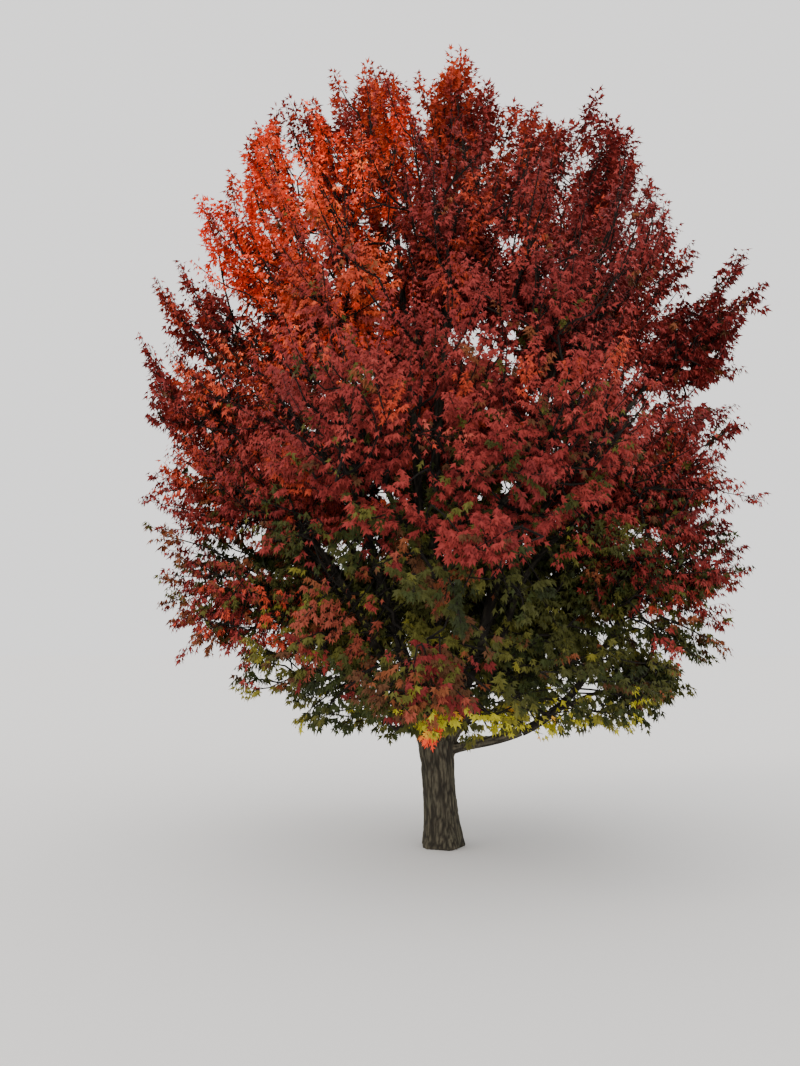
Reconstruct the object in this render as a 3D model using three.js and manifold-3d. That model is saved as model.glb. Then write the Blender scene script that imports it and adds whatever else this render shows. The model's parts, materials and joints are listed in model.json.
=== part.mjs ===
// Red maple tree in autumn leaf: a short leaning trunk that forks low, its limbs and boughs, and the
// uneven masses of foliage that they carry. Millimetres, +Z up, +X to the right of the usual view and
// +Y away from it. The origin is the middle of the flat cut where the trunk meets the ground.
import * as THREE from "three";
import { mergeVertices } from "three/addons/utils/BufferGeometryUtils.js";
import Module from "manifold-3d";

const wasm = await Module();
wasm.setup();

// Driving dimensions of the trunk
const FORK_HEIGHT = 960;
const FORK_SWELLING = 22;
const FORK_DOME = 40;
const TRUNK_WIDTH = 300;
const TRUNK_WAIST = 6; // how much smaller its radius is half-way up
const TRUNK_LEAN = 3.6; // degrees towards -X
const FLARE_SPREAD = 50; // how far the root flare stands out at the ground
const FLARE_HEIGHT = 170;
const BUTTRESSES = 5;
const BUTTRESS_SHARE = 0.5; // of the flare, added on a buttress and taken off between two
const GROOVE = { bearing: 268, halfWidth: 16, depth: 13 }; // degrees, degrees and mm

// The crown, and how the masses and limbs in it meet
const CROWN_MIDDLE = new THREE.Vector3(150, 0, 3600);
const GAP = 0.3; // left between neighbouring pieces
const MASS_GAP = 0.48; // the same along a mass's own growth, as two masses meet at a slant
const END_OUT = 0.55; // a limb's end from its mass's middle, as a share of the least half size
const END_BACK = 0.5; // how strongly that end is drawn to the mass's inner side

// The two waves that make a mass uneven, as shares of its size and waves to a radius
const BROAD_WAVE = { depth: 0.11, waves: 3.4 };
const FINE_WAVE = { depth: 0.12, waves: new THREE.Vector3(6.1, 5.3, -4.7) };
const WAVE_TURNS = [1.7, 2.3, 3.1]; // radians from one mass to the next

// How finely the pieces are divided
const SAME_PLACE = 0.001; // vertices nearer than this are one
const TRUNK_SIDES = 16;
const TRUNK_STEPS = 7;
const RING_CROWDING = 1.25; // above 1, the trunk's rings crowd towards the root flare
const LEADER_FACETS = { sides: 6, steps: 6 };
const BOUGH_FACETS = { sides: 5, steps: 4 };
const MASS_DETAIL = 2; // for a mass that shows its outline; the others have their own, lower detail

const UP = new THREE.Vector3(0, 0, 1);
const degrees = THREE.MathUtils.degToRad;

// Colours of bark and leaves
const COLOURS = {
  bark: "#5b4d42",
  crimson: "#8e2430",
  maroon: "#6d1f28",
  scarlet: "#b8392c",
  orange: "#c9502c",
  olive: "#6a6a2c",
  green: "#3f5127",
};

// The foliage masses. at is the middle of the mass. long, wide and deep are its half sizes: along its
// own growth, across it on the level, and across it upright. Growth points away from the crown's axis,
// at rise degrees above the level. tips are drawn-out shoots, measured from the middle of the mass.
const MASSES = {
  crown_top: {
    at: [250, 0, 7060], long: 720, wide: 600, deep: 540, rise: 84, colour: "scarlet",
    tips: [[10, 0, 965], [300, 0, 640], [-290, 0, 665], [120, -200, 700]],
  },
  top_left: {
    at: [-500, -100, 6760], long: 700, wide: 500, deep: 520, rise: 80, colour: "maroon",
    tips: [[35, 0, 860], [-190, 0, 995]],
  },
  top_right: {
    at: [930, -50, 6480], long: 640, wide: 440, deep: 380, rise: 76, colour: "crimson",
    tips: [[60, 0, 800], [235, 0, 640]],
  },
  upper_left: {
    at: [-980, -400, 6300], long: 740, wide: 480, deep: 430, rise: 76, colour: "scarlet",
    tips: [[-60, -100, 1070], [-260, -100, 770]],
  },
  upper_left_outer: {
    at: [-1560, -250, 6130], long: 640, wide: 480, deep: 380, rise: 68, colour: "orange",
    tips: [[-50, -100, 1040], [-300, -100, 700]],
  },
  left_upper: {
    at: [-1700, -450, 5350], long: 680, wide: 620, deep: 520, rise: 50, colour: "orange",
    tips: [[-325, -100, 900], [-500, -100, 585], [-565, -100, 335]],
  },
  left_shoulder: {
    at: [-2030, -250, 4720], long: 700, wide: 640, deep: 500, rise: 44, colour: "scarlet",
    tips: [[-510, -100, 725], [-650, 0, 440]],
  },
  left_outermost: {
    at: [-2120, -300, 3980], long: 720, wide: 700, deep: 520, rise: 30, colour: "crimson",
    tips: [[-805, 0, 750], [-660, -100, 280]],
  },
  left_mid: {
    at: [-1720, -700, 3120], long: 760, wide: 720, deep: 580, rise: 12, colour: "scarlet",
    tips: [[-780, 100, 415], [-845, 100, 250], [-820, 100, -420]],
  },
  left_low: {
    at: [-1660, -600, 2130], long: 740, wide: 760, deep: 560, rise: 4, colour: "orange",
    tips: [[-880, 0, 240], [-800, 0, -75], [-660, 0, -530], [20, -300, -610], [560, -400, -640]],
  },
  upper_right: {
    at: [1560, -100, 6270], long: 780, wide: 600, deep: 440, rise: 70, colour: "maroon",
    tips: [[105, 0, 1120], [265, 0, 780], [475, -100, 550]],
  },
  right_upper: {
    at: [1860, -200, 5330], long: 660, wide: 600, deep: 480, rise: 50, colour: "maroon",
    tips: [[420, 0, 805], [555, 0, 540], [730, 0, 245]],
  },
  right_outermost: {
    at: [2420, -200, 4760], long: 700, wide: 640, deep: 470, rise: 38, colour: "crimson",
    tips: [[555, 0, 870], [800, 0, 505], [490, -100, -495]],
  },
  right_mid: {
    at: [1930, -500, 3330], long: 740, wide: 740, deep: 560, rise: 8, colour: "crimson",
    tips: [[725, 0, -205], [640, 0, -565]],
  },
  right_low: {
    at: [1860, -600, 2370], long: 780, wide: 720, deep: 480, rise: 2, colour: "scarlet",
    tips: [[860, 0, 45], [630, 0, -145]],
  },
  right_lowest: {
    at: [1880, 180, 1450], long: 580, wide: 640, deep: 420, rise: 0, colour: "olive", detail: 1,
    tips: [[440, -230, 225], [90, -180, -560], [-380, -330, -510]],
  },
  top_front: {
    at: [60, -1200, 5400], long: 960, wide: 700, deep: 680, rise: 60, colour: "crimson", detail: 1,
    tips: [[0, -450, 850]],
  },
  front_sunlit: {
    at: [-1000, -1380, 4850], long: 840, wide: 700, deep: 640, rise: 54, colour: "orange",
    tips: [[-300, -350, 800]],
  },
  front_upper_right: {
    at: [1100, -1350, 4800], long: 860, wide: 740, deep: 660, rise: 50, colour: "maroon",
    tips: [[300, -350, 800]],
  },
  front_left: {
    at: [-760, -1900, 3430], long: 840, wide: 720, deep: 660, rise: 32, colour: "crimson",
    tips: [[-250, -500, 640]],
  },
  front_right: {
    at: [900, -1850, 3430], long: 820, wide: 780, deep: 660, rise: 32, colour: "crimson",
    tips: [[250, -500, 640]],
  },
  front_tuft: {
    at: [140, -2400, 2420], long: 380, wide: 330, deep: 270, rise: -12, colour: "crimson", detail: 1,
    tips: [[0, -420, -120]],
  },
  front_low: {
    at: [-280, -1900, 1500], long: 580, wide: 560, deep: 400, rise: -8, colour: "olive", detail: 1,
    tips: [[130, 300, -480], [-300, 80, -260]],
  },
  inner_left: {
    at: [-880, 380, 2060], long: 600, wide: 580, deep: 620, rise: 8, colour: "green", detail: 1,
    tips: [[-180, -150, -700]],
  },
  inner_right: {
    at: [860, 380, 1720], long: 600, wide: 580, deep: 640, rise: 8, colour: "green", detail: 1,
    tips: [[300, -100, -780]],
  },
  top_back: {
    at: [200, 1050, 6050], long: 900, wide: 820, deep: 700, rise: 62, colour: "maroon", detail: 1,
    tips: [[0, 400, 950]],
  },
  back_upper_left: {
    at: [-1250, 1150, 5350], long: 900, wide: 860, deep: 680, rise: 50, colour: "scarlet", detail: 1,
    tips: [[-350, 350, 850]],
  },
  back_upper_right: {
    at: [1650, 1150, 5250], long: 900, wide: 860, deep: 680, rise: 48, colour: "crimson", detail: 1,
    tips: [[350, 350, 820]],
  },
  back_left: {
    at: [-1650, 1350, 3850], long: 900, wide: 920, deep: 720, rise: 28, colour: "crimson", detail: 1,
    tips: [[-550, 450, 560]],
  },
  back_mid: {
    at: [100, 2000, 4300], long: 860, wide: 900, deep: 760, rise: 30, colour: "scarlet", detail: 1,
    tips: [[0, 700, 520]],
  },
  back_right: {
    at: [1850, 1350, 3750], long: 920, wide: 940, deep: 720, rise: 26, colour: "maroon", detail: 1,
    tips: [[600, 450, 540]],
  },
  back_low_left: {
    at: [-900, 1500, 2350], long: 860, wide: 980, deep: 680, rise: 6, colour: "olive", detail: 1,
    tips: [[-600, 550, -420]],
  },
  back_low_right: {
    at: [1000, 1500, 2300], long: 860, wide: 980, deep: 680, rise: 4, colour: "olive", detail: 1,
    tips: [[600, 550, -460]],
  },
};

// The limbs that rise from the trunk's fork. Each one starts ring mm from the fork's middle, on the
// side that bearing gives (0 is +X and 90 is +Y), below mm under the top of the trunk. It passes
// through the places named in via and runs into its mass. widths are its thickness at foot and end.
const LEADERS = {
  leader_centre: {
    to: "crown_top", bearing: 60, ring: 20, below: 60, widths: [118, 46],
    via: [[-47, 40, 3490]],
  },
  leader_left_inner: {
    to: "top_left", bearing: 185, ring: 75, below: 60, widths: [112, 42],
    via: [[-225, 0, 3490]],
  },
  leader_left: {
    to: "upper_left_outer", bearing: 225, ring: 90, below: 75, widths: [112, 40],
    via: [[-430, -90, 1950], [-665, -120, 2700]],
  },
  limb_left: {
    to: "left_outermost", bearing: 175, ring: 105, below: 110, widths: [96, 36],
    via: [[-790, -40, 2120], [-1300, -90, 2880]],
  },
  leader_right: {
    to: "upper_right", bearing: 330, ring: 85, below: 60, widths: [122, 42],
    via: [[310, -60, 1650], [500, -90, 2370], [740, -120, 3140]],
  },
  limb_right: {
    to: "right_mid", bearing: 10, ring: 95, below: 100, widths: [100, 38],
    via: [[400, 20, 1330], [840, -20, 2500]],
  },
  limb_right_low: {
    to: "right_low", bearing: 350, ring: 110, below: 130, widths: [104, 36],
    via: [[600, -60, 955], [930, -120, 1110], [1270, -200, 1480]],
  },
  leader_front: {
    to: "front_right", bearing: 280, ring: 95, below: 80, widths: [108, 40],
    via: [[-10, -550, 2250]],
  },
  leader_back_left: {
    to: "back_upper_left", bearing: 125, ring: 90, below: 70, widths: [112, 42],
    via: [[-560, 760, 2300]],
  },
  leader_back_right: {
    to: "back_upper_right", bearing: 55, ring: 100, below: 90, widths: [112, 42],
    via: [[620, 760, 2200]],
  },
};

// The boughs that branch from those limbs: along is the share of the parent's length where a bough
// leaves it, and lift how far its middle stands above the straight line to its mass.
const BOUGHS = {
  bough_front_sunlit: {
    to: "front_sunlit", from: "leader_left", along: 0.42, lift: 60, widths: [62, 32],
  },
  bough_left_shoulder: {
    to: "left_shoulder", from: "leader_left", along: 0.5, lift: -120, widths: [62, 32],
  },
  bough_left_mid: {
    to: "left_mid", from: "limb_left", along: 0.5, lift: -60, widths: [56, 30],
  },
  bough_left_low: {
    to: "left_low", from: "limb_left", along: 0.16, lift: -60, widths: [62, 30],
  },
  bough_top_back: {
    to: "top_back", from: "leader_centre", along: 0.46, lift: -90, widths: [70, 34],
  },
  bough_top_front: {
    to: "top_front", from: "leader_centre", along: 0.42, lift: -90, widths: [66, 34],
  },
  bough_right_upper: {
    to: "right_upper", from: "leader_right", along: 0.5, lift: -90, widths: [64, 32],
  },
  bough_right_outermost: {
    to: "right_outermost", from: "leader_right", along: 0.36, lift: -90, widths: [66, 32],
  },
  bough_front_upper_right: {
    to: "front_upper_right", from: "leader_right", along: 0.44, lift: -90, widths: [62, 32],
  },
  bough_right_lowest: {
    to: "right_lowest", from: "limb_right_low", along: 0.4, lift: 20, widths: [50, 28],
  },
  bough_front_left: {
    to: "front_left", from: "leader_front", along: 0.45, lift: -60, widths: [62, 32],
  },
  bough_front_tuft: {
    to: "front_tuft", from: "leader_front", along: 0.6, lift: 40, widths: [44, 24],
  },
  bough_front_low: {
    to: "front_low", from: "leader_front", along: 0.15, lift: 60, widths: [50, 26],
  },
  bough_back_left: {
    to: "back_left", from: "leader_back_left", along: 0.4, lift: -80, widths: [68, 34],
  },
  bough_back_mid: {
    to: "back_mid", from: "leader_back_right", along: 0.42, lift: -80, widths: [66, 34],
  },
  bough_back_right: {
    to: "back_right", from: "leader_back_right", along: 0.36, lift: -80, widths: [68, 34],
  },
};

// A closed solid for joining and cutting, from any closed geometry.
function toSolid(geometry) {
  const bare = geometry.clone();
  bare.deleteAttribute("normal");
  bare.deleteAttribute("uv");
  const merged = mergeVertices(bare, SAME_PLACE);
  const vertProperties = Float32Array.from(merged.attributes.position.array);
  const triVerts = Uint32Array.from(merged.index.array);
  return new wasm.Manifold(new wasm.Mesh({ numProp: 3, vertProperties, triVerts }));
}

// The geometry of a solid, moved by shift.
function toGeometry(solid, shift = new THREE.Vector3()) {
  const mesh = solid.getMesh();
  const geometry = new THREE.BufferGeometry();
  geometry.setAttribute("position", new THREE.BufferAttribute(Float32Array.from(mesh.vertProperties), 3));
  geometry.setIndex(new THREE.BufferAttribute(Uint32Array.from(mesh.triVerts), 1));
  geometry.translate(shift.x, shift.y, shift.z);
  geometry.computeVertexNormals();
  return geometry;
}

// Moves every vertex of a geometry to where place(vertex) says.
function reshape(geometry, place) {
  const position = geometry.attributes.position;
  const vertex = new THREE.Vector3();
  for (let i = 0; i < position.count; i++) {
    const moved = place(vertex.fromBufferAttribute(position, i), i);
    position.setXYZ(i, moved.x, moved.y, moved.z);
  }
  return geometry;
}

// The middle of the trunk at a height.
function trunkMiddle(height) {
  return new THREE.Vector3(-Math.tan(degrees(TRUNK_LEAN)) * height, 0, height);
}

// The trunk's radius at a height and angle: root flare in buttresses, a long slight taper, a swelling
// under the fork and one groove up the side that faces the view.
function trunkRadius(height, angle) {
  const share = height / FORK_HEIGHT;
  const flare = FLARE_SPREAD * Math.exp(-height / FLARE_HEIGHT);
  const buttress = 1 + BUTTRESS_SHARE * Math.cos(BUTTRESSES * angle);
  const taper = TRUNK_WIDTH / 2 - TRUNK_WAIST * Math.sin(Math.PI * share);
  const swelling = FORK_SWELLING * share ** 4;
  const awayFromGroove = (angle - degrees(GROOVE.bearing)) / degrees(GROOVE.halfWidth);
  const groove = GROOVE.depth * Math.exp(-(awayFromGroove ** 2)) * Math.min(1, share * 2);
  return taper + flare * buttress + swelling - groove;
}

// The trunk, from its flat cut at ground level to its domed fork.
function trunkGeometry(grow = 0) {
  const geometry = new THREE.CylinderGeometry(1, 1, 1, TRUNK_SIDES, TRUNK_STEPS);
  geometry.rotateX(Math.PI / 2);
  return reshape(geometry, (vertex) => {
    const share = vertex.z + 0.5;
    const angle = (Math.atan2(vertex.y, vertex.x) + 2 * Math.PI) % (2 * Math.PI);
    const spread = Math.hypot(vertex.x, vertex.y);
    const height = FORK_HEIGHT * share ** RING_CROWDING;
    const isTop = Math.round(share * TRUNK_STEPS) === TRUNK_STEPS;
    const dome = isTop ? FORK_DOME * (1 - spread) + grow : 0;
    const middle = trunkMiddle(height);
    const radius = spread * (trunkRadius(height, angle) + grow);
    middle.x += Math.cos(angle) * radius;
    middle.y += Math.sin(angle) * radius;
    middle.z += dome;
    return middle;
  });
}

// Two smooth waves over a sphere of directions make each mass uneven in its own way.
function uneven(direction, seed) {
  const [turnX, turnY, turnZ] = WAVE_TURNS.map((turn) => turn * seed);
  const turned = new THREE.Vector3(Math.sin(turnX), Math.cos(turnY), Math.sin(turnZ + 1));
  const broad = Math.sin(BROAD_WAVE.waves * direction.dot(turned) + seed);
  const fine = Math.sin(FINE_WAVE.waves.dot(turned.clone().cross(direction)) + 2 * seed);
  return 1 + BROAD_WAVE.depth * broad + FINE_WAVE.depth * fine;
}

// The three axes of a mass: along its growth, across it on the level, and across it upright.
function massAxes({ at, rise }) {
  const outward = new THREE.Vector3(at[0] - CROWN_MIDDLE.x, at[1] - CROWN_MIDDLE.y, 0).normalize();
  const along = outward.clone().multiplyScalar(Math.cos(degrees(rise)));
  along.addScaledVector(UP, Math.sin(degrees(rise)));
  const across = new THREE.Vector3().crossVectors(UP, outward);
  const upright = new THREE.Vector3().crossVectors(along, across);
  return [along, across, upright];
}

// A point on the surface of a mass, without its tips, in a direction of its own axes.
function massPoint(mass, seed, direction, grow = 0) {
  const [along, across, upright] = massAxes(mass);
  const reach = uneven(direction, seed);
  const point = new THREE.Vector3();
  point.addScaledVector(along, direction.x * mass.long * reach);
  point.addScaledVector(across, direction.y * mass.wide * reach);
  point.addScaledVector(upright, direction.z * mass.deep * reach);
  point.setLength(point.length() + grow);
  return point.add(new THREE.Vector3(...mass.at));
}

// One mass of foliage: an uneven rounded solid with its named shoots drawn out to their tips.
function massGeometry(mass, seed, grow = 0) {
  const sphere = new THREE.IcosahedronGeometry(1, mass.detail ?? MASS_DETAIL);
  sphere.deleteAttribute("normal");
  sphere.deleteAttribute("uv");
  const geometry = mergeVertices(sphere, SAME_PLACE);
  reshape(geometry, (vertex) => massPoint(mass, seed, vertex.normalize(), grow));
  const middle = new THREE.Vector3(...mass.at);
  for (const offset of mass.tips) {
    drawOut(geometry, middle, new THREE.Vector3(...offset), grow);
  }
  return geometry;
}

// Moves the vertex that lies nearest the direction of a tip out to that tip.
function drawOut(geometry, middle, offset, grow) {
  const position = geometry.attributes.position;
  const vertex = new THREE.Vector3();
  let nearest = 0;
  let least = Infinity;
  for (let i = 0; i < position.count; i++) {
    const angle = vertex.fromBufferAttribute(position, i).sub(middle).angleTo(offset);
    if (angle < least) {
      least = angle;
      nearest = i;
    }
  }
  const tip = offset.clone().setLength(offset.length() + grow).add(middle);
  position.setXYZ(nearest, tip.x, tip.y, tip.z);
}

// A limb that tapers from foot to end along a curve, in straight steps.
function limbGeometry({ curve, sides, steps, widths }, grow = 0) {
  const geometry = new THREE.CylinderGeometry(1, 1, 1, sides, steps);
  const frames = curve.computeFrenetFrames(steps, false);
  return reshape(geometry, (vertex) => {
    const share = vertex.y + 0.5;
    const ring = Math.round(share * steps);
    const radius = THREE.MathUtils.lerp(widths[0], widths[1], share) / 2 + grow;
    const place = curve.getPointAt(share);
    place.addScaledVector(frames.normals[ring], vertex.x * radius);
    place.addScaledVector(frames.binormals[ring], -vertex.z * radius);
    if (ring === steps) {
      place.addScaledVector(frames.tangents[ring], grow);
    }
    return place;
  });
}

// A point on the middle line of a limb, on the straight step that it lies in.
function middleOfLimb({ curve, steps }, share) {
  const ring = Math.min(Math.floor(share * steps), steps - 1);
  const start = curve.getPointAt(ring / steps);
  return start.lerp(curve.getPointAt((ring + 1) / steps), share * steps - ring);
}

// Where a limb ends: a little inside its mass, on the side that it comes from.
function endInMass(mass, from) {
  const middle = new THREE.Vector3(...mass.at);
  const [along] = massAxes(mass);
  const inward = from.clone().sub(middle).normalize().addScaledVector(along, -END_BACK).normalize();
  return middle.addScaledVector(inward, END_OUT * Math.min(mass.long, mass.wide, mass.deep));
}

function leaderCurve({ to, bearing, ring, below, via }) {
  const foot = trunkMiddle(FORK_HEIGHT - below);
  foot.x += Math.cos(degrees(bearing)) * ring;
  foot.y += Math.sin(degrees(bearing)) * ring;
  const passed = via.map((place) => new THREE.Vector3(...place));
  const end = endInMass(MASSES[to], passed.at(-1));
  return new THREE.CatmullRomCurve3([foot, ...passed, end], false, "centripetal");
}

function boughCurve({ to, along, lift }, parent) {
  const foot = middleOfLimb(parent, along);
  const end = endInMass(MASSES[to], foot);
  const bend = foot.clone().lerp(end, 0.5).addScaledVector(UP, 2 * lift);
  return new THREE.QuadraticBezierCurve3(foot, bend, end);
}

// The masses, each cut clear of the ones before it
const seeds = Object.fromEntries(Object.keys(MASSES).map((name, i) => [name, i + 1]));
const solids = {};
const cutters = [];
for (const [name, mass] of Object.entries(MASSES)) {
  let solid = toSolid(massGeometry(mass, seeds[name]));
  for (const cutter of cutters) {
    solid = solid.subtract(cutter);
  }
  cutters.push(toSolid(massGeometry(mass, seeds[name], MASS_GAP)));
  solids[name] = solid;
}

// The limbs and boughs, each cut clear of the trunk and of the limbs before it
const trunk = toSolid(trunkGeometry());
const limbs = {};
const grown = [toSolid(trunkGeometry(GAP))];
for (const [name, spec] of Object.entries({ ...LEADERS, ...BOUGHS })) {
  const limb = spec.from
    ? { curve: boughCurve(spec, limbs[spec.from]), ...BOUGH_FACETS, ...spec }
    : { curve: leaderCurve(spec), ...LEADER_FACETS, ...spec };
  limb.solid = toSolid(limbGeometry(limb));
  for (const cutter of grown) {
    limb.solid = limb.solid.subtract(cutter);
  }
  limb.cutter = toSolid(limbGeometry(limb, GAP));
  grown.push(limb.cutter);
  limbs[name] = limb;
}

// A mass is cut round every limb that passes through it on the way to another one
for (const limb of Object.values(limbs)) {
  for (const name of Object.keys(MASSES)) {
    if (name !== limb.to) {
      solids[name] = solids[name].subtract(limb.cutter);
    }
  }
}

// A limb ends where it enters its own mass
for (const limb of Object.values(limbs)) {
  const back = limb.curve.getPointAt(0).sub(limb.curve.getPointAt(1)).setLength(GAP);
  limb.solid = limb.solid.subtract(toSolid(toGeometry(solids[limb.to], back)));
}

const tree = new THREE.Group();

function addPiece(name, solid, colour, roughness) {
  const material = new THREE.MeshStandardMaterial({ color: colour, roughness, metalness: 0 });
  const piece = new THREE.Mesh(toGeometry(solid), material);
  piece.name = name;
  tree.add(piece);
}

addPiece("trunk", trunk, COLOURS.bark, 0.9);
for (const [name, limb] of Object.entries(limbs)) {
  addPiece(name, limb.solid, COLOURS.bark, 0.88);
}
for (const [name, mass] of Object.entries(MASSES)) {
  addPiece(`foliage_${name}`, solids[name], COLOURS[mass.colour], 0.75);
}

export default tree;
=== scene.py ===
# The look of the red maple tree: bark-covered wood, and branches, twigs and autumn leaves that grow on
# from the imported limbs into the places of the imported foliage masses. Metres, +Z up, seen along +Y.
import json
import math
import bpy
import numpy as np
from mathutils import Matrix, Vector, noise
from mathutils.bvhtree import BVHTree

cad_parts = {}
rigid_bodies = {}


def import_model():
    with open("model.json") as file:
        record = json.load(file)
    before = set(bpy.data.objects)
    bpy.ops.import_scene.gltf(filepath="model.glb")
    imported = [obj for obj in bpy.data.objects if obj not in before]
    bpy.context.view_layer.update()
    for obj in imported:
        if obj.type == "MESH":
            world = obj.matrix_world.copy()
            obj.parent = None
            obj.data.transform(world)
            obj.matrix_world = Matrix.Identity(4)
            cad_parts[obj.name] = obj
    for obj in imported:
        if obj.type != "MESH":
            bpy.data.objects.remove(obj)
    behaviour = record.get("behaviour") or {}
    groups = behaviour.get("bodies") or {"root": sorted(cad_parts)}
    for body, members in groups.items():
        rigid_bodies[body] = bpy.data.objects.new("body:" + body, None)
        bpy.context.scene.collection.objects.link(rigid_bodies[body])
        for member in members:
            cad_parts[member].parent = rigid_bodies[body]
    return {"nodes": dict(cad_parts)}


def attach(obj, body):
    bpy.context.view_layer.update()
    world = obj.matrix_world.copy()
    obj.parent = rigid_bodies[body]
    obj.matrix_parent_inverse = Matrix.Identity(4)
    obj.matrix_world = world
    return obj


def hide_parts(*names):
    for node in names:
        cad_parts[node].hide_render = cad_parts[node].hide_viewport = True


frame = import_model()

for thing in ("Cube", "Light", "Camera"):
    if thing in bpy.data.objects:
        bpy.data.objects.remove(bpy.data.objects[thing], do_unlink=True)
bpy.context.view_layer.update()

# Camera: a phone's wide lens held at eye height, looking a little up
EYE = (-0.383, -7.2, 1.7)
EYE_PITCH = 8.8  # degrees above the level
LENS = 26.0
SENSOR = 36.0

# The tree's own places
UP = np.array([0.0, 0.0, 1.0])
FORK = np.array([-0.06, 0.0, 0.93])  # the middle of the trunk's top
FAN_FOOT = np.array([0.05, 0.0, 1.0])  # the growth of the crown fans out from here
CROWN_AXIS = np.array([0.15, 0.0, 4.2])
CROWN_REACH = np.array([3.0, 2.8, 3.8])
ROUNDING = np.array([1, 1, 0.8])  # ways out of the crown are this much less steep than from its middle
LIMB_NAMES = sorted(n for n in frame["nodes"] if not n.startswith("foliage_") and n != "trunk")
MASS_NAMES = sorted(n[8:] for n in frame["nodes"] if n.startswith("foliage_"))

# Trunk and limbs
FOOT_DEPTH = 0.12  # how far below the trunk's top a limb's foot is set
FOOT_ASIDE = np.array([0.55, 0.55, 0.0])  # how far from the trunk's middle, as a share of its way out
RING_GAP = 0.08  # vertices of a packed limb this far apart along it lie on different rings
LIMB_STEP = 0.08
STUB_LENGTH = 0.62  # how much of a limb is remeshed together with the trunk
STUB_OVERLAP = 0.10
STUB_SIDES = 18
FORK_VOXEL = 0.011
TRUNK_RINGS = 110
TRUNK_SIDES = 96
TRUNK_POINTS = 12  # on its middle line, where bark is told apart by the wood that it lies on
TRUNK_RADIUS = 0.14
GROOVE_BEARING = 268.0  # degrees
GROOVE_WIDTH = 9.0  # degrees
GROOVE_DEPTH = 0.010
FURROW_DEPTH = 0.009  # on the trunk, and less on thinner wood
FURROW_SCALE = 34.0  # plates to a metre round the trunk
LIMB_FURROW_SCALE = 1.3 * FURROW_SCALE
FURROW_STRETCH = 8.0  # how much longer a plate is than wide
FURROW_LEVEL = 0.35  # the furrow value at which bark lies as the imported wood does
FINE_RELIEF = 0.0022
LIMB_SIDES = 12
LIMB_RING_STEP = 0.045
LIMB_LUMP = 0.10  # shares of a limb's radius
LIMB_FURROW = 0.07
# Limbs, branches and twigs are painted darker than the trunk, as painted shade inside the crown
LIMB_SHADE = (0.75, 0.6)  # how dark a limb is, and how much darker its furrows are
THIN_WOOD_PAINTED_SHADE = 1.4  # branches and twigs are as dark as a furrow
BARK_PLATES = ((46, 43, 34), (82, 76, 62))  # dark and pale, as they look in a picture
BARK_BLOOM = (78, 77, 62)
# the furrow colour: the furrows' own darkness with painted shade in them, and painted shade on the thinner
# wood
BARK_FURROW_AND_SHADE = (22, 18, 14)

# Leafy branches, called plumes: an axis with side shoots in opposite pairs, and leaves alone on its spire
PLUME_SPACING = 0.275
PLUME_LENGTH = (0.42, 0.75)
SPIRE = (0.12, 0.34)  # how much of a plume has leaves only, low and high in the crown
BEND = (-0.35, 0.6)  # how much a plume bends up, low and high in the crown
SWEEP_UP = 0.12
HEADING_SPREAD = 0.2
AXIS_SPREAD = 0.07
FAN_SHARE = 0.58  # how far a plume that faces sideways follows the fan from the trunk, and not its mass
FAN_LIMITS = (0.25, 0.7)
TRIES = 9.0  # places tried on a mass for each square of the plume spacing
PROBE = 0.14  # a place this far outside a mass has to be open for a plume to end there
TIP_REACH = 1.25  # a corner that reaches this many times the usual way is a drawn-out shoot
TIP_ROOM = 0.6  # how close to others a plume may end in such a corner, as a share of the usual
TIP_INSET = (0.10, 0.20)
INWARD_ROOM = 0.5  # how much further apart plumes stand on the inward sides of masses
TRIM = 0.06  # how far a side shoot may reach out of all masses
MASS_TRIM = {"front_tuft": -0.04}  # further than that
MASS_NEARBY = 1.2  # side shoots are trimmed by the masses within this reach

# Plumes in the valleys between masses
VALLEY_TRIES = 40000
VALLEY_WIDTH = 0.55  # from the further of the two masses
VALLEY_SPACING = 0.25
VALLEY_FACING = (0.2, 0.05)  # low and high in the crown, how far apart the ways to two masses point
OPEN_FACING = -0.35  # the same high on the right, where the outline is notched
OPEN_FROM = (1.3, 4.0)  # how far right and how high that is
VALLEY_INSET = 0.12
VALLEY_INNER = 0.45  # how far out in the crown valleys are filled, as a share of its reach
VALLEY_TRIM = 0.45

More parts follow.
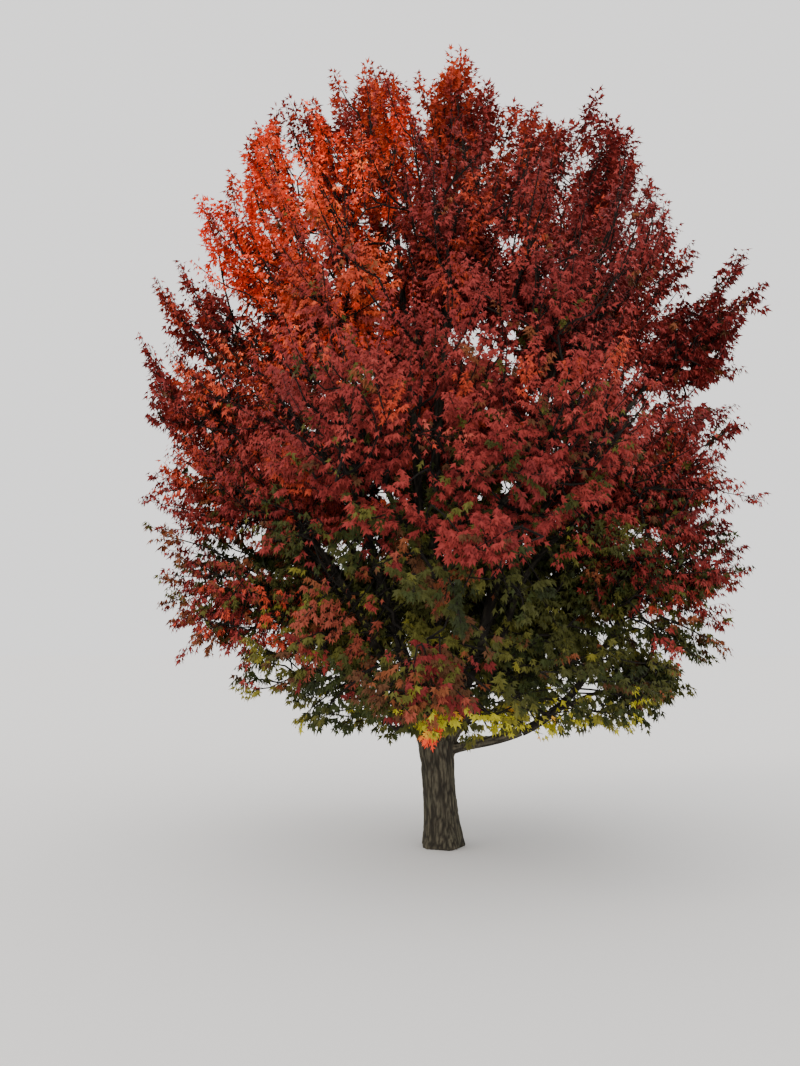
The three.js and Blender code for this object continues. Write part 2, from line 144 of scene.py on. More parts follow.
# Plumes in places that no mass takes in. A row states what isn't usual, and without a palette of their own
# the plumes take that of the nearest mass.
USUAL_FILL = {"spacing": 0.24, "length": (0.4, 0.6), "palette": None, "drop": 0.0, "inside": False}
FILLS = [
    dict(middle=(0.0, 0.15, 2.75), reach=(1.7, 1.3, 1.25), spacing=0.38, length=(0.45, 0.7), palette="heart"),
    dict(middle=(-2.0, -0.45, 2.6), reach=(0.7, 0.7, 0.4), spacing=0.23, palette="turning"),
    dict(middle=(2.0, -0.45, 2.85), reach=(0.75, 0.7, 0.4), palette="crimson"),
    dict(middle=(-1.0, 0.1, 6.5), reach=(0.28, 0.7, 0.75)),
    dict(middle=(0.82, 0.1, 6.5), reach=(0.25, 0.7, 0.55)),
    dict(middle=(-1.85, -0.1, 4.6), reach=(0.45, 0.7, 0.5), spacing=0.25),
    dict(middle=(-2.05, -0.2, 3.95), reach=(0.5, 0.8, 0.6)),
    dict(middle=(-0.25, 0.4, 5.0), reach=(0.35, 1.0, 0.3), palette="crimson", inside=True),
    dict(middle=(2.2, -0.2, 3.3), reach=(0.5, 0.8, 0.5)),
    dict(middle=(2.1, 0.0, 4.9), reach=(0.35, 0.6, 0.5), spacing=0.25),
    dict(middle=(-1.2, -0.6, 1.8), reach=(1.0, 1.0, 0.45), length=(0.3, 0.5), palette="olive", drop=0.25),
    dict(middle=(0.15, -0.65, 1.42), reach=(1.9, 1.6, 0.42), spacing=0.27, length=(0.28, 0.45),
         palette="olive", drop=0.35),
]
FILL_TRIES = 6000
FILL_TRIM = 2.0
FORK_CLEARANCE = 0.33

# The crest of the crown against the sky, from left to right: across and high, in the plane at CREST_PLANE
CREST = [
    (-2.3, 6.0), (-1.86, 6.8), (-1.45, 7.08), (-1.22, 7.02), (-1.05, 7.45), (-0.9, 7.1), (-0.68, 7.52),
    (-0.4, 7.25), (-0.2, 7.35), (0.0, 7.42), (0.14, 7.76), (0.3, 7.66), (0.5, 7.25), (0.72, 7.0),
    (0.95, 7.05), (1.1, 6.75), (1.32, 6.95), (1.57, 7.2), (1.8, 6.8), (2.0, 6.55), (2.1, 6.1), (2.4, 5.55),
    (2.9, 5.5), (3.1, 5.2),
]
CREST_PLANE = -0.3
CREST_SLACK = 0.04
CREST_DEPTH = (-0.45, 0.25)
CREST_LAYERS = 3  # plumes below each other at each tip
CREST_DROP = 0.24
CREST_INSET = 0.06  # further in for each layer

# Small bright shoots that hang in front of the fork
EMBER_FOOT = np.array([-0.12, -0.36, 1.24])
EMBER_TIPS = [(-0.21, -0.46, 1.00), (-0.12, -0.52, 0.95), (-0.05, -0.48, 1.04)]
EMBER_SHOOT = 0.07
EMBER_TRIM = np.inf  # they are never trimmed

# Growing branches: how much a sharp turn, a sharp arrival, a long way from the fork and a long branch cost
TURN_COST = 0.6
ARRIVE_COST = 0.4
WAY_COST = 0.35
LONG_COST = 0.4
CLEAR_FOOT = 9  # the points at a limb's foot that stay bare, and at a bough's
CLEAR_BOUGH = 3
LEADING_REACH = (0.2, 1.6)  # how far ahead of its end a limb runs on
LEADING_ASIDE = 1.8  # how much a place aside of that way counts
BRANCH_SIZES = (0.009, 0.015)  # branches thicker than these at their feet have four and six sides
PLUME_RADIUS = 0.0085
TIP_RADIUS = 0.002
PIPE_POWER = 2.3

# Side shoots and leaves
NODE_STEP = 0.075  # between one pair of side shoots and the next
SHOOT_ANGLE = 46.0  # degrees from the axis
SHOOT_LENGTH = (0.26, 0.09)  # at the foot of a plume and where its spire starts
SHOOT_VARIES = (0.75, 1.2)
SHOOT_LIFT = 0.12
SHOOT_MISSING = 0.08
UPRIGHT_SHOOT = 0.75  # how long every third pair is, which stands across the others
TWIG_RADIUS = 0.0024
LEAF_STEP = 0.0385
LEAF_LENGTH = (0.058, 0.086)
INNER_GROWTH = 0.5  # how much larger a leaf is at the foot of a plume, where it only fills
NEAR_GROWTH = -0.36  # the same on the near side of the crown, and then on its far side
BACK_GROWTH = 0.5
STALK_LENGTH = 0.030  # on a spire, where leaves stand apart
SHORT_STALK = 0.004
STALK_WIDTH = 0.0022
STALK_SPREAD = 0.15
LEAF_HANG = (0.85, 0.4)  # how much leaves hang, low and high in the crown
LEAF_SPREAD = (0.22, 0.28)  # how much the ways that leaves point and face vary
LEAF_CURL = (0.3, 1.8)
# One maple leaf of length 1: three pointed lobes, folded along its middle, and drooping at its sides
LEAF_OUTLINE = np.array([
    (0.0, 0.0, 0.0), (0.43, 0.57, -0.18), (0.15, 0.44, -0.05),
    (0.0, 1.0, -0.08), (-0.15, 0.44, -0.05), (-0.43, 0.57, -0.18),
])
LEAF_FACES = np.array([(0, 1, 2), (0, 2, 3), (0, 3, 4), (0, 4, 5)])

# Limbs that show between the leaves, and the heights between which they do
SHOWN_LIMBS = {
    "limb_left": (1.75, 2.9), "leader_left": (1.6, 2.75), "leader_right": (1.45, 2.5),
    "limb_right": (2.1, 3.3), "leader_centre": (3.3, 4.1), "leader_left_inner": (3.1, 4.0),
    "limb_right_low": (1.0, 1.4), "bough_right_outermost": (3.0, 4.2), "bough_left_shoulder": (3.0, 4.0),
}
SHOWN_WIDTH = 0.095  # to each side of a limb's middle, as seen from the camera
SHOWN_SHARE = 0.92
STEM_SIDE = 0.2  # stems show on the near side, up to this far from the camera
STEM_SHARE = 0.2
STEM_PART = 0.75
STEM_WIDTH = 0.028

# Leaf colours, as they look in a picture
TINTS = {
    "wine": (104, 36, 35),
    "dark_crimson": (116, 40, 38),
    "crimson": (127, 46, 42),
    "bright_crimson": (138, 53, 47),
    "rose": (152, 66, 55),
    "scarlet": (166, 61, 41),
    "bright_scarlet": (196, 78, 47),
    "flame": (226, 72, 43),
    "blaze": (240, 90, 52),
    "orange_red": (232, 112, 58),
    "orange": (236, 130, 50),
    "gold": (216, 158, 50),
    "yellow_green": (160, 152, 42),
    "light_olive": (110, 104, 36),
    "olive": (80, 78, 33),
    "dark_olive": (56, 57, 25),
    "green": (45, 51, 23),
    # green and dark_green are darker than the leaves' own green, as painted shade deep in the crown
    "dark_green": (33, 38, 19),
    "rust": (112, 62, 38),
    "bronze": (76, 48, 30),
    "salmon": (126, 59, 45),
}

# How often each tint comes in each part of the crown, dark to light
PALETTES = {
    "crimson": dict(wine=2, dark_crimson=3.5, crimson=4, bright_crimson=2, scarlet=0.4),
    "bright": dict(wine=1, dark_crimson=3, crimson=4, bright_crimson=2.5, rose=0.4, scarlet=0.5),
    "tuft": dict(wine=1, dark_crimson=2.5, crimson=4, bright_crimson=2, rose=0.3),
    # scarlet and warm: the leaves' red, partly painted lighter and more orange as sunlight from the left
    "scarlet": dict(dark_crimson=1.5, crimson=3, bright_crimson=2, scarlet=3, bright_scarlet=0.7),
    "warm": dict(crimson=1.5, bright_crimson=1.5, scarlet=4, bright_scarlet=2, flame=1),
    "sunlit": dict(bright_crimson=0.7, scarlet=1.5, flame=3.5, blaze=3.5, orange_red=1.6),
    "russet": dict(olive=0.7, bronze=1, rust=3, dark_crimson=1.5, crimson=2.5, scarlet=1.5),
    "turning": dict(dark_olive=1, bronze=1.5, olive=1, rust=3, dark_crimson=1, crimson=2, scarlet=0.7),
    "shaded": dict(dark_olive=2, bronze=2, wine=1.5, olive=2, rust=1.5, crimson=1),
    # shaded_high gives shaded shoots high in the crown lighter reds, painted light against their shade
    "shaded_high": dict(bronze=0.4, olive=0.15, dark_crimson=2, rust=1, crimson=3, bright_crimson=3),
    # light_olive in the olive palette is partly painted backlight glowing through low leaves
    "olive": dict(
        dark_green=0.5, green=2.5, dark_olive=3, bronze=0.5, rust=0.3, olive=2.5, light_olive=0.4
    ),
    # heart and inside: the leaves' own greens, darkened as painted shade deep in the crown
    "heart": dict(dark_green=1.5, green=3, dark_olive=3, bronze=0.3, olive=1.5, light_olive=0.15),
    "inside": dict(dark_green=1.5, green=3, dark_olive=3, olive=2),
    # fringe: the leaves' green, with yellow-green and gold as painted backlight glowing through them
    "fringe": dict(green=1.5, dark_olive=1, olive=1.5, light_olive=1.5, yellow_green=3, gold=0.8),
    "salmon": dict(dark_olive=2, bronze=2.5, olive=0.5, wine=1, rust=1, salmon=2),
    "ember": dict(scarlet=2, flame=3, blaze=2, orange=1, gold=0.7),
}
# The palettes of the masses
PARTS = {
    # warm on the top and upper left, scarlet on the left: partly painted sunlight from the left
    "warm": "crown_top top_left upper_left upper_left_outer left_upper front_sunlit back_upper_left",
    "crimson": "top_right top_front upper_right front_upper_right right_upper right_outermost right_mid "
    "back_right",
    "scarlet": "left_shoulder left_outermost left_mid back_left",
    # top_back and back_upper_right take the lighter bright palette, painted light that lifts the shade at the
    # crown's back
    "bright": "right_low front_left front_right top_back back_upper_right back_mid",
    "russet": "left_low back_low_left",
    "olive": "right_lowest back_low_right",
    "inside": "inner_left inner_right",
    "tuft": "front_tuft",
    "salmon": "front_low",
}
# How densely plumes stand on the masses, where it isn't 1
DENSITIES = {
    1.2: "inner_left inner_right crown_top top_left upper_right upper_left upper_left_outer left_low",
    1.3: "top_right front_low front_tuft left_shoulder",
    1.4: "left_mid right_outermost",
    1.5: "right_low left_outermost left_upper",
    1.8: "right_mid",
}
MASS_PALETTES, MASS_DENSITY = [
    {mass: value for value, names in groups.items() for mass in names.split()}
    for groups in (PARTS, DENSITIES)
]
# The patch of painted sunlight, in warm tints, high on the left of the near side
SUN_MIDDLE = np.array([-1.4, -0.8, 5.6])
SUN_REACH = np.array([1.0, 1.6, 0.85])
# How far clumps of colour, plumes and shoots lean to lighter or darker tints, from 0 to 1 in a palette, and
# how much lighter leaves are painted for each metre inside their mass, painted light against the shade there
CLUMP_LEAN = 0.7
PLUME_LEAN = 0.13
SHOOT_LEAN = 0.11
INNER_PAINTED_FILL = 0.1
# Where green comes in, from none to all: below these heights inside the crown, and in the middle of the near
# side, and the yellow-green fringe along the crown's foot, partly the leaves' own green and partly painted
# backlight
GREEN_HEIGHTS = (3.1, 2.0)
GREEN_REACH = (1.0, 0.66)  # shares of the crown's reach
FRONT_HEIGHTS = (2.8, 2.5)
FRONT_WIDTH = (1.5, 1.1)
FRINGE_HEIGHTS = (1.42, 1.15)
TUFT_FOOT = 2.3  # below this the red tuft at the front gives way to green
SHADED_SHARE = 0.42  # of the shoots at the foot of a plume

# Lamps: name, strength, width and turns in degrees, and colour
WORLD_COLOUR = (0.86, 0.85, 0.84)
WORLD_STRENGTH = 1.68
LAMPS = [
    ("key", 0.6, 20, (54, 0, -66), (1.0, 0.93, 0.84)),
    ("front", 2.25, 9, (87, 0, -5), (1.0, 0.98, 0.95)),
]
FLOOR_REACH = 400.0

rng = np.random.default_rng(360)


def unit(vectors):
    """Vectors of length one."""
    lengths = np.linalg.norm(vectors, axis=-1, keepdims=True)
    return vectors / np.maximum(lengths, 1e-9)


def smooth_step(low, high, value):
    """0 below low, 1 above high, and a smooth rise between."""
    share = np.clip((value - low) / (high - low), 0, 1)
    return share * share * (3 - 2 * share)


def between(pair, share):
    """The value that lies a share of the way from the first of a pair to the second."""
    return pair[0] + (pair[1] - pair[0]) * share


def sizes(vectors):
    """The length of each vector in a row of them."""
    return np.linalg.norm(vectors, axis=-1)


def turns(count):
    """Even angles round a circle."""
    return np.arange(count) * (2 * math.pi / count)


def cubic(t, start, leave, end, arrive):
    """Places on the smooth curve that leaves one point and arrives at another with the given headings."""
    return (
        (2 * t**3 - 3 * t**2 + 1) * start
        + (t**3 - 2 * t**2 + t) * leave
        + (3 * t**2 - 2 * t**3) * end
        + (t**3 - t**2) * arrive
    )


def polyline_lengths(points):
    """The length along a line of points, at each of them."""
    return np.append(0.0, np.cumsum(sizes(np.diff(points, axis=0))))


def resample(points, values, step):
    """Points at even steps on a smooth curve through points, with values to match."""
    lengths = polyline_lengths(points)
    count = max(2, int(round(lengths[-1] / step)) + 1)
    wanted = np.linspace(0, lengths[-1], count)
    slopes = np.gradient(points, lengths, axis=0)
    span = np.clip(np.searchsorted(lengths, wanted, side="right") - 1, 0, len(lengths) - 2)
    gap = (lengths[span + 1] - lengths[span])[:, None]
    t = (wanted[:, None] - lengths[span][:, None]) / gap
    curve = cubic(t, points[span], gap * slopes[span], points[span + 1], gap * slopes[span + 1])
    return curve, np.interp(wanted, lengths, values)


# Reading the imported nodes


def node_mesh(name):
    """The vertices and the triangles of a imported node."""
    mesh = frame["nodes"][name].data
    points = np.empty(len(mesh.vertices) * 3)
    mesh.vertices.foreach_get("co", points)
    return points.reshape(-1, 3), np.array([tuple(face.vertices) for face in mesh.polygons])


def read_limb(name):
    """The middle line of a packed limb from its foot to its end, and its radius there."""
    points = np.unique(np.round(node_mesh(name)[0], 4), axis=0)
    reach = sizes(points - FORK)
    chord = unit(points[reach.argmax()] - points[reach.argmin()])
    along = points @ chord
    order = along.argsort()
    breaks = np.flatnonzero(np.diff(along[order]) > RING_GAP) + 1
    middles, radii, clean = [], [], []
    for ring in np.split(order, breaks):
        middle = points[ring].mean(axis=0)
        spread = sizes(points[ring] - middle)
        spread = spread[spread >= 0.3 * spread.max()]
        middles.append(middle)
        radii.append(spread.mean())
        clean.append(len(ring) >= 5 and np.ptp(spread) < 0.3 * spread.mean())
    kept = np.flatnonzero(clean)
    if len(kept) == 0:
        return np.array([middles[0], middles[-1]]), np.array([radii[0], radii[-1]])
    line = [middles[i] for i in kept]
    width = [radii[i] for i in kept]
    if kept[0] > 0:
        line.insert(0, np.mean(middles[: kept[0]], axis=0))
        width.insert(0, width[0])
    if kept[-1] < len(middles) - 1:
        line.append(np.mean(middles[kept[-1] + 1 :], axis=0))
        width.append(width[-1])
    return np.array(line), np.array(width)


def smooth_line(line):
    """A line of points with its bends eased and its two ends kept."""
    for _ in range(3):
        line = line.copy()
        line[1:-1] += 0.25 * (line[:-2] - 2 * line[1:-1] + line[2:])
    return line


def read_limbs():
    """Every packed limb as a smooth line of even steps with radii, its foot set inside what carries it."""
    raw = {name: read_limb(name) for name in LIMB_NAMES}
    carriers = {
        name: resample(line, width, LIMB_STEP / 4)[0]
        for name, (line, width) in raw.items() if not name.startswith("bough_")
    }
    limbs = {}
    for name, (line, width) in raw.items():
        carrier = None
        foot = FORK + (line[0] - FORK) * FOOT_ASIDE - FOOT_DEPTH * UP
        if name not in carriers:
            carrier = min(carriers, key=lambda other: sizes(carriers[other] - line[0]).min())
            foot = carriers[carrier][sizes(carriers[carrier] - line[0]).argmin()]
        line, width = resample(np.vstack([foot, line]), np.append(width[0], width), LIMB_STEP)
        limbs[name] = {"line": smooth_line(line), "radius": width, "carrier": carrier}
    return limbs


class Mass:
    """One packed foliage mass, for asking what lies inside it."""

    def __init__(self, name):
        self.name = name
        self.points, self.faces = node_mesh(f"foliage_{name}")
        self.tree = BVHTree.FromPolygons(self.points.tolist(), self.faces.tolist())
        self.low = self.points.min(axis=0)
        self.high = self.points.max(axis=0)
        self.middle = self.points.mean(axis=0)

    def depth(self, place):
        """How deep a place lies under the surface, or less than 0 outside."""
        near, normal, _, far = self.tree.find_nearest(Vector(place))
        return far if (Vector(place) - near).dot(normal) < 0 else -far

    def way_to(self, place):
        """How far outside the surface a place lies, less than 0 if inside, and the direction to it."""
        near, normal, _, far = self.tree.find_nearest(Vector(place))
        way = np.array(near) - place
        return (-far if -Vector(way).dot(normal) < 0 else far), way / max(far, 1e-6)

    def is_near(self, place, margin):
        return (place > self.low - margin).all() and (place < self.high + margin).all()

    def holds(self, place, margin=0.0):
        return self.is_near(place, margin) and self.depth(place) > -margin

    def candidates(self, spacing):
        """Places on the surface, the furthest reaching corners first, with their outward directions."""
        corners = np.unique(np.round(self.points, 4), axis=0)
        reach = sizes(corners - self.middle)
        tips = corners[reach > TIP_REACH * reach.mean()]
        tips = tips[np.argsort(-sizes(tips - self.middle))]
        triangles = self.points[self.faces]
        cross = np.cross(triangles[:, 1] - triangles[:, 0], triangles[:, 2] - triangles[:, 0])
        area = sizes(cross) / 2
        count = int(TRIES * area.sum() / spacing**2)
        picked = rng.choice(len(area), size=count, p=area / area.sum())
        a, b = rng.random((2, count))
        a, b = np.where(a + b > 1, 1 - a, a), np.where(a + b > 1, 1 - b, b)
        t = triangles[picked]
        places = t[:, 0] + a[:, None] * (t[:, 1] - t[:, 0]) + b[:, None] * (t[:, 2] - t[:, 0])
        normals = unit(cross[picked])
        outward = unit(normals + unit(places - self.middle))
        return np.vstack([tips, places]), np.vstack([unit(tips - self.middle), outward]), len(tips)


# Where the leafy branches go


def plume_direction(tip, outward):
    """The heading of a leafy branch near its tip: fanned out from the trunk, and out of its mass."""
    fan = unit(tip - FAN_FOOT)
    share = np.clip(FAN_SHARE + 0.5 * outward[2], *FAN_LIMITS)
    heading = share * fan + (1 - share) * outward
    heading = heading + SWEEP_UP * smooth_step(1.8, 4.0, tip[2]) * UP
    return unit(heading + rng.normal(0, HEADING_SPREAD, 3))


def plume_axis(tip, heading, length):
    """Points from the foot of a leafy branch to its tip, swept up, or hanging where it is low."""
    steps = max(4, int(round(length / NODE_STEP)))
    share = np.linspace(0, 1, steps)[:, None]
    bend = between(BEND, smooth_step(1.6, 3.6, tip[2]))
    headings = heading + (share - 0.5) * bend * UP + rng.normal(0, AXIS_SPREAD, (steps, 3))
    strides = unit(headings) * (length / steps)
    back = np.cumsum(strides[::-1], axis=0)[::-1]
    return np.vstack([tip - back, tip])


class Crown:
    """The leafy branches placed so far, and the places that they take up."""

    def __init__(self, masses):
        self.masses = masses
        self.kept = np.full((1, 3), np.inf)
        self.plumes = []

    def has_room(self, place, room):
        return sizes(self.kept - place).min() >= room

    def nearest(self, place):
        """How far outside its nearest mass a place lies, less than 0 if inside, and that mass."""
        return min(((-mass.depth(place), mass) for mass in self.masses), key=lambda pair: pair[0])

    def add(self, place, axis, mass, trim, palette=None):
        self.kept = np.vstack([self.kept, place])
        self.plumes.append({"axis": axis, "mass": mass, "palette": palette, "trim": trim})


def place_plumes(masses):
    """All leafy branches of the crown."""
    crown = Crown(masses)
    mass_plumes(crown)
    valley_plumes(crown)
    for fill in FILLS:
        fill_plumes(crown, {**USUAL_FILL, **fill})
    crest_plumes(crown)
    for plume in crown.plumes:
        lower_to_crest(plume)
    near = crown.nearest(EMBER_FOOT)[1]
    for tip in EMBER_TIPS:
        axis = EMBER_FOOT + np.linspace(0, 1, 5)[:, None] * (tip - EMBER_FOOT)
        crown.add(tip, axis, near, EMBER_TRIM, "ember")
    return crown.plumes


def mass_plumes(crown):
    """Leafy branches spread evenly over the open sides of all masses."""
    for mass in crown.masses:
        spacing = PLUME_SPACING / math.sqrt(MASS_DENSITY.get(mass.name, 1.0))
        places, outward, tips = mass.candidates(spacing)
        for i, (place, out) in enumerate(zip(places, outward)):
            probe = place + PROBE * out
            if any(other is not mass and other.holds(probe) for other in crown.masses):
                continue
            inward = smooth_step(0.1, -0.6, out @ unit((place - CROWN_AXIS) * ROUNDING))
            room = spacing * (1 + INWARD_ROOM * inward)
            if not crown.has_room(place, room * TIP_ROOM if i < tips else room):
                continue
            inset = TIP_INSET[0] if i < tips else rng.uniform(*TIP_INSET)
            tip = place - inset * out
            axis = plume_axis(tip, plume_direction(tip, out), rng.uniform(*PLUME_LENGTH))
            if not any(other.holds(axis[0], 0.05) for other in crown.masses):
                axis = axis[len(axis) // 3 :]
            crown.add(place, axis, mass, TRIM)


def valley_plumes(crown):
    """Leafy branches in the narrow valleys between masses, where the crown runs on without a gap."""
    low = np.min([mass.low for mass in crown.masses], axis=0)
    high = np.max([mass.high for mass in crown.masses], axis=0)
    for place in rng.uniform(low, high, (VALLEY_TRIES, 3)):
        inner = sizes((place - CROWN_AXIS) / CROWN_REACH) < VALLEY_INNER
        if inner or not crown.has_room(place, VALLEY_SPACING):
            continue
        close = [mass for mass in crown.masses if mass.is_near(place, VALLEY_WIDTH)]
        ways = [mass.way_to(place) for mass in close]
        if len(ways) < 2 or min(gap for gap, _ in ways) < 0:
            continue
        near = [way for gap, way in ways if gap < VALLEY_WIDTH]
        facing = between(VALLEY_FACING, smooth_step(3.0, 5.0, place[2]))
        if place[0] > OPEN_FROM[0] and place[2] > OPEN_FROM[1]:
            facing = OPEN_FACING
        if not any(one @ other < facing for one in near for other in near):
            continue
        out = unit(place - CROWN_AXIS)
        axis = plume_axis(place - VALLEY_INSET * out, plume_direction(place, out), rng.uniform(*PLUME_LENGTH))
        crown.add(place, axis, close[int(np.argmin([gap for gap, _ in ways]))], VALLEY_TRIM)


def fill_plumes(crown, fill):
    """Leafy branches in a part of the crown that no mass takes in."""
    for spot in rng.uniform(-1, 1, (FILL_TRIES, 3)):
        place = fill["middle"] + spot * fill["reach"]
        if sizes(spot) > 1 or sizes(place[:2] - FORK[:2]) < FORK_CLEARANCE:
            continue
        if not crown.has_room(place, fill["spacing"]):
            continue
        gap, mass = crown.nearest(place)
        if gap < 0 and not fill["inside"]:
            continue
        level = unit((place - FORK) * [1, 1, 0])
        heading = unit(plume_direction(place, level) - fill["drop"] * UP)
        axis = plume_axis(place, heading, rng.uniform(*fill["length"]))
        crown.add(place, axis, mass, FILL_TRIM, fill["palette"])


def crest_plumes(crown):
    """Leafy branches that end in the tips which stand against the sky."""
    for across, high in CREST:
        for layer in range(CREST_LAYERS):
            tip = np.array([across, rng.uniform(*CREST_DEPTH), high - layer * CREST_DROP])
            out = unit(tip - CROWN_AXIS)
            tip = tip - CREST_INSET * layer * out
            if layer and not crown.has_room(tip, CREST_DROP):
                continue
            axis = plume_axis(tip, plume_direction(tip, out), rng.uniform(*PLUME_LENGTH))
            crown.add(tip, axis, crown.nearest(tip)[1], VALLEY_TRIM)


def lower_to_crest(plume):
    """Sets a leafy branch that sticks out above the crest, as seen from the camera, down to it."""
    tip = plume["axis"][-1]
    nearer = (CREST_PLANE - EYE[1]) / (tip[1] - EYE[1])
    across, high = [EYE[k] + (tip[k] - EYE[k]) * nearer for k in (0, 2)]
    limit = np.interp(across, *np.transpose(CREST), left=np.inf, right=np.inf)
    excess = (high - limit) / nearer - CREST_SLACK
    if excess > 0:
        plume["axis"] = plume["axis"] - excess * UP


# Growing the branches that join them to the limbs


class Skeleton:
    """All points of the wood, each with its parent, heading, radius and way from the fork."""

    def __init__(self, room=60000):
        self.count = 0
        self.place = np.zeros((room, 3))
        self.heading = np.zeros((room, 3))
        self.way = np.zeros(room)
        self.radius = np.zeros(room)
        self.parent = np.full(room, -1)
        self.is_limb = np.zeros(room, bool)

    def add(self, line, parent, radius=None):
        """A line of points that starts beside the parent. Returns their indices."""
        first = self.count
        for k, place in enumerate(line):
            i = self.count
            before = parent if k == 0 else i - 1
            self.place[i] = place
            self.parent[i] = before
            step = place - self.place[before] if before >= 0 else UP
            self.heading[i] = unit(step)
            self.way[i] = (self.way[before] + np.linalg.norm(step)) if before >= 0 else 0
            if radius is not None:
                self.radius[i] = radius[k]
                self.is_limb[i] = True
            self.count += 1
        return np.arange(first, self.count)


def join_cost(bases, headings, skeleton, nodes):
    """The cost of growing from each wood point to the foot of each plume: distance, turns and way."""
    gap = bases[:, None] - skeleton.place[nodes][None]
    far = sizes(gap)
    to = gap / np.maximum(far, 1e-6)[..., None]
    turn = 1 - np.einsum("ijk,jk->ij", to, skeleton.heading[nodes])
    arrive = 1 - np.einsum("ijk,ik->ij", to, headings)
    cost = far * (1 + TURN_COST * turn + ARRIVE_COST * arrive + LONG_COST * far)
    return cost + WAY_COST * skeleton.way[nodes][None]


def branch_line(start, start_heading, end, end_heading):
    """A branch that leaves one point and runs smoothly into another, as points after the first."""
    far = np.linalg.norm(end - start)
    count = max(1, int(round(far / LIMB_STEP)))
    t = np.linspace(0, 1, count + 1)[1:-1, None]
    leave = unit(0.6 * start_heading + 0.8 * unit(end - start)) * far
    curve = cubic(t, start, leave, end, end_heading * far)
    return curve + np.sin(math.pi * t) * rng.normal(0, 0.03 * far, 3)


def grow(limbs, plumes):
    """Joins every plume to the limbs, the cheapest first, and lets later ones branch off earlier ones."""
    skeleton = Skeleton()
    ends = {}
    for name in sorted(limbs, key=lambda n: n.startswith("bough_")):
        limb = limbs[name]
        parent = -1
        if limb["carrier"]:
            parent = int(sizes(skeleton.place[: skeleton.count] - limb["line"][0]).argmin())
        nodes = skeleton.add(limb["line"], parent, limb["radius"])
        limb["nodes"] = nodes
        ends[name] = nodes[-1]
    bases = np.array([plume["axis"][0] for plume in plumes])
    headings = unit(np.array([plume["axis"][2] - plume["axis"][0] for plume in plumes]))
    waiting = np.ones(len(plumes), bool)

    def connect(i, node):
        plume = plumes[i]
        line = branch_line(skeleton.place[node], skeleton.heading[node], bases[i], headings[i])
        nodes = skeleton.add(np.vstack([line, plume["axis"]]), node)
        plume["nodes"] = nodes[len(line) :]
        waiting[i] = False
        return nodes[: len(line) + len(plume["axis"]) // 2]

    # Each limb first runs on into its own mass, to the plume that lies straightest ahead
    fresh = []
    for name in sorted(ends):
        end = ends[name]
        gap = bases - skeleton.place[end]
        ahead = gap @ skeleton.heading[end]
        aside = sizes(gap - ahead[:, None] * skeleton.heading[end])
        in_reach = waiting & (ahead > LEADING_REACH[0]) & (ahead < LEADING_REACH[1])
        score = np.where(in_reach, ahead - LEADING_ASIDE * aside, -np.inf)
        if np.isfinite(score.max()):
            fresh.append(connect(int(score.argmax()), end))
    bare = {name: CLEAR_BOUGH if limbs[name]["carrier"] else CLEAR_FOOT for name in ends}
    usable = np.concatenate([limbs[name]["nodes"][bare[name] :] for name in ends] + fresh)
    cost = join_cost(bases, headings, skeleton, usable)
    best = cost.min(axis=1)
    node = usable[cost.argmin(axis=1)]
    while waiting.any():
        i = int(np.where(waiting, best, np.inf).argmin())
        new = connect(i, int(node[i]))
        cost = join_cost(bases, headings, skeleton, new)
        lowest = cost.min(axis=1)
        better = lowest < best
        node[better] = new[cost.argmin(axis=1)][better]
        best = np.minimum(best, lowest)
    return skeleton


def thicken(skeleton, plumes):
    """Gives each branch the radius that carries what grows from it."""
    count = skeleton.count
    load = np.zeros(count)
    own = np.zeros(count)
    for plume in plumes:
        nodes = plume["nodes"]
        share = np.linspace(1, 0, len(nodes))
        own[nodes] = TIP_RADIUS + (PLUME_RADIUS - TIP_RADIUS) * share
    for i in range(count - 1, -1, -1):
        if skeleton.is_limb[i]:
            continue
        skeleton.radius[i] = max(own[i], load[i] ** (1 / PIPE_POWER))
        parent = skeleton.parent[i]
        carried = skeleton.radius[i] ** PIPE_POWER
        if own[i] and own[parent]:
            load[parent] = max(load[parent], carried)
        else:
            load[parent] += carried
    for i in np.flatnonzero(~skeleton.is_limb[:count]):
        skeleton.radius[i] = min(skeleton.radius[i], 0.97 * skeleton.radius[skeleton.parent[i]])


# Meshes


class Builder:
    """Gathers vertices, triangles and furrow values, partly painted shade, for one joined mesh of wood."""

    def __init__(self):
        self.vertices = []
        self.faces = []
        self.values = []
        self.count = 0

    # Thin wood takes the full furrow darkness, as painted shade
    def add(self, vertices, faces, values=THIN_WOOD_PAINTED_SHADE):
        self.vertices.append(vertices)
        self.faces.append(faces + self.count)
        self.values.append(np.broadcast_to(values, len(vertices)))
        self.count += len(vertices)

    def make(self, name, material):
        piece = make_mesh(name, np.vstack(self.vertices), np.vstack(self.faces), [material])
        furrow = piece.data.attributes.new("furrow", "FLOAT", "POINT")
        furrow.data.foreach_set("value", np.concatenate(self.values).astype(np.float32))
        return piece


def new_object(name, data):
    thing = bpy.data.objects.new(name, data)
    bpy.context.scene.collection.objects.link(thing)
    return thing


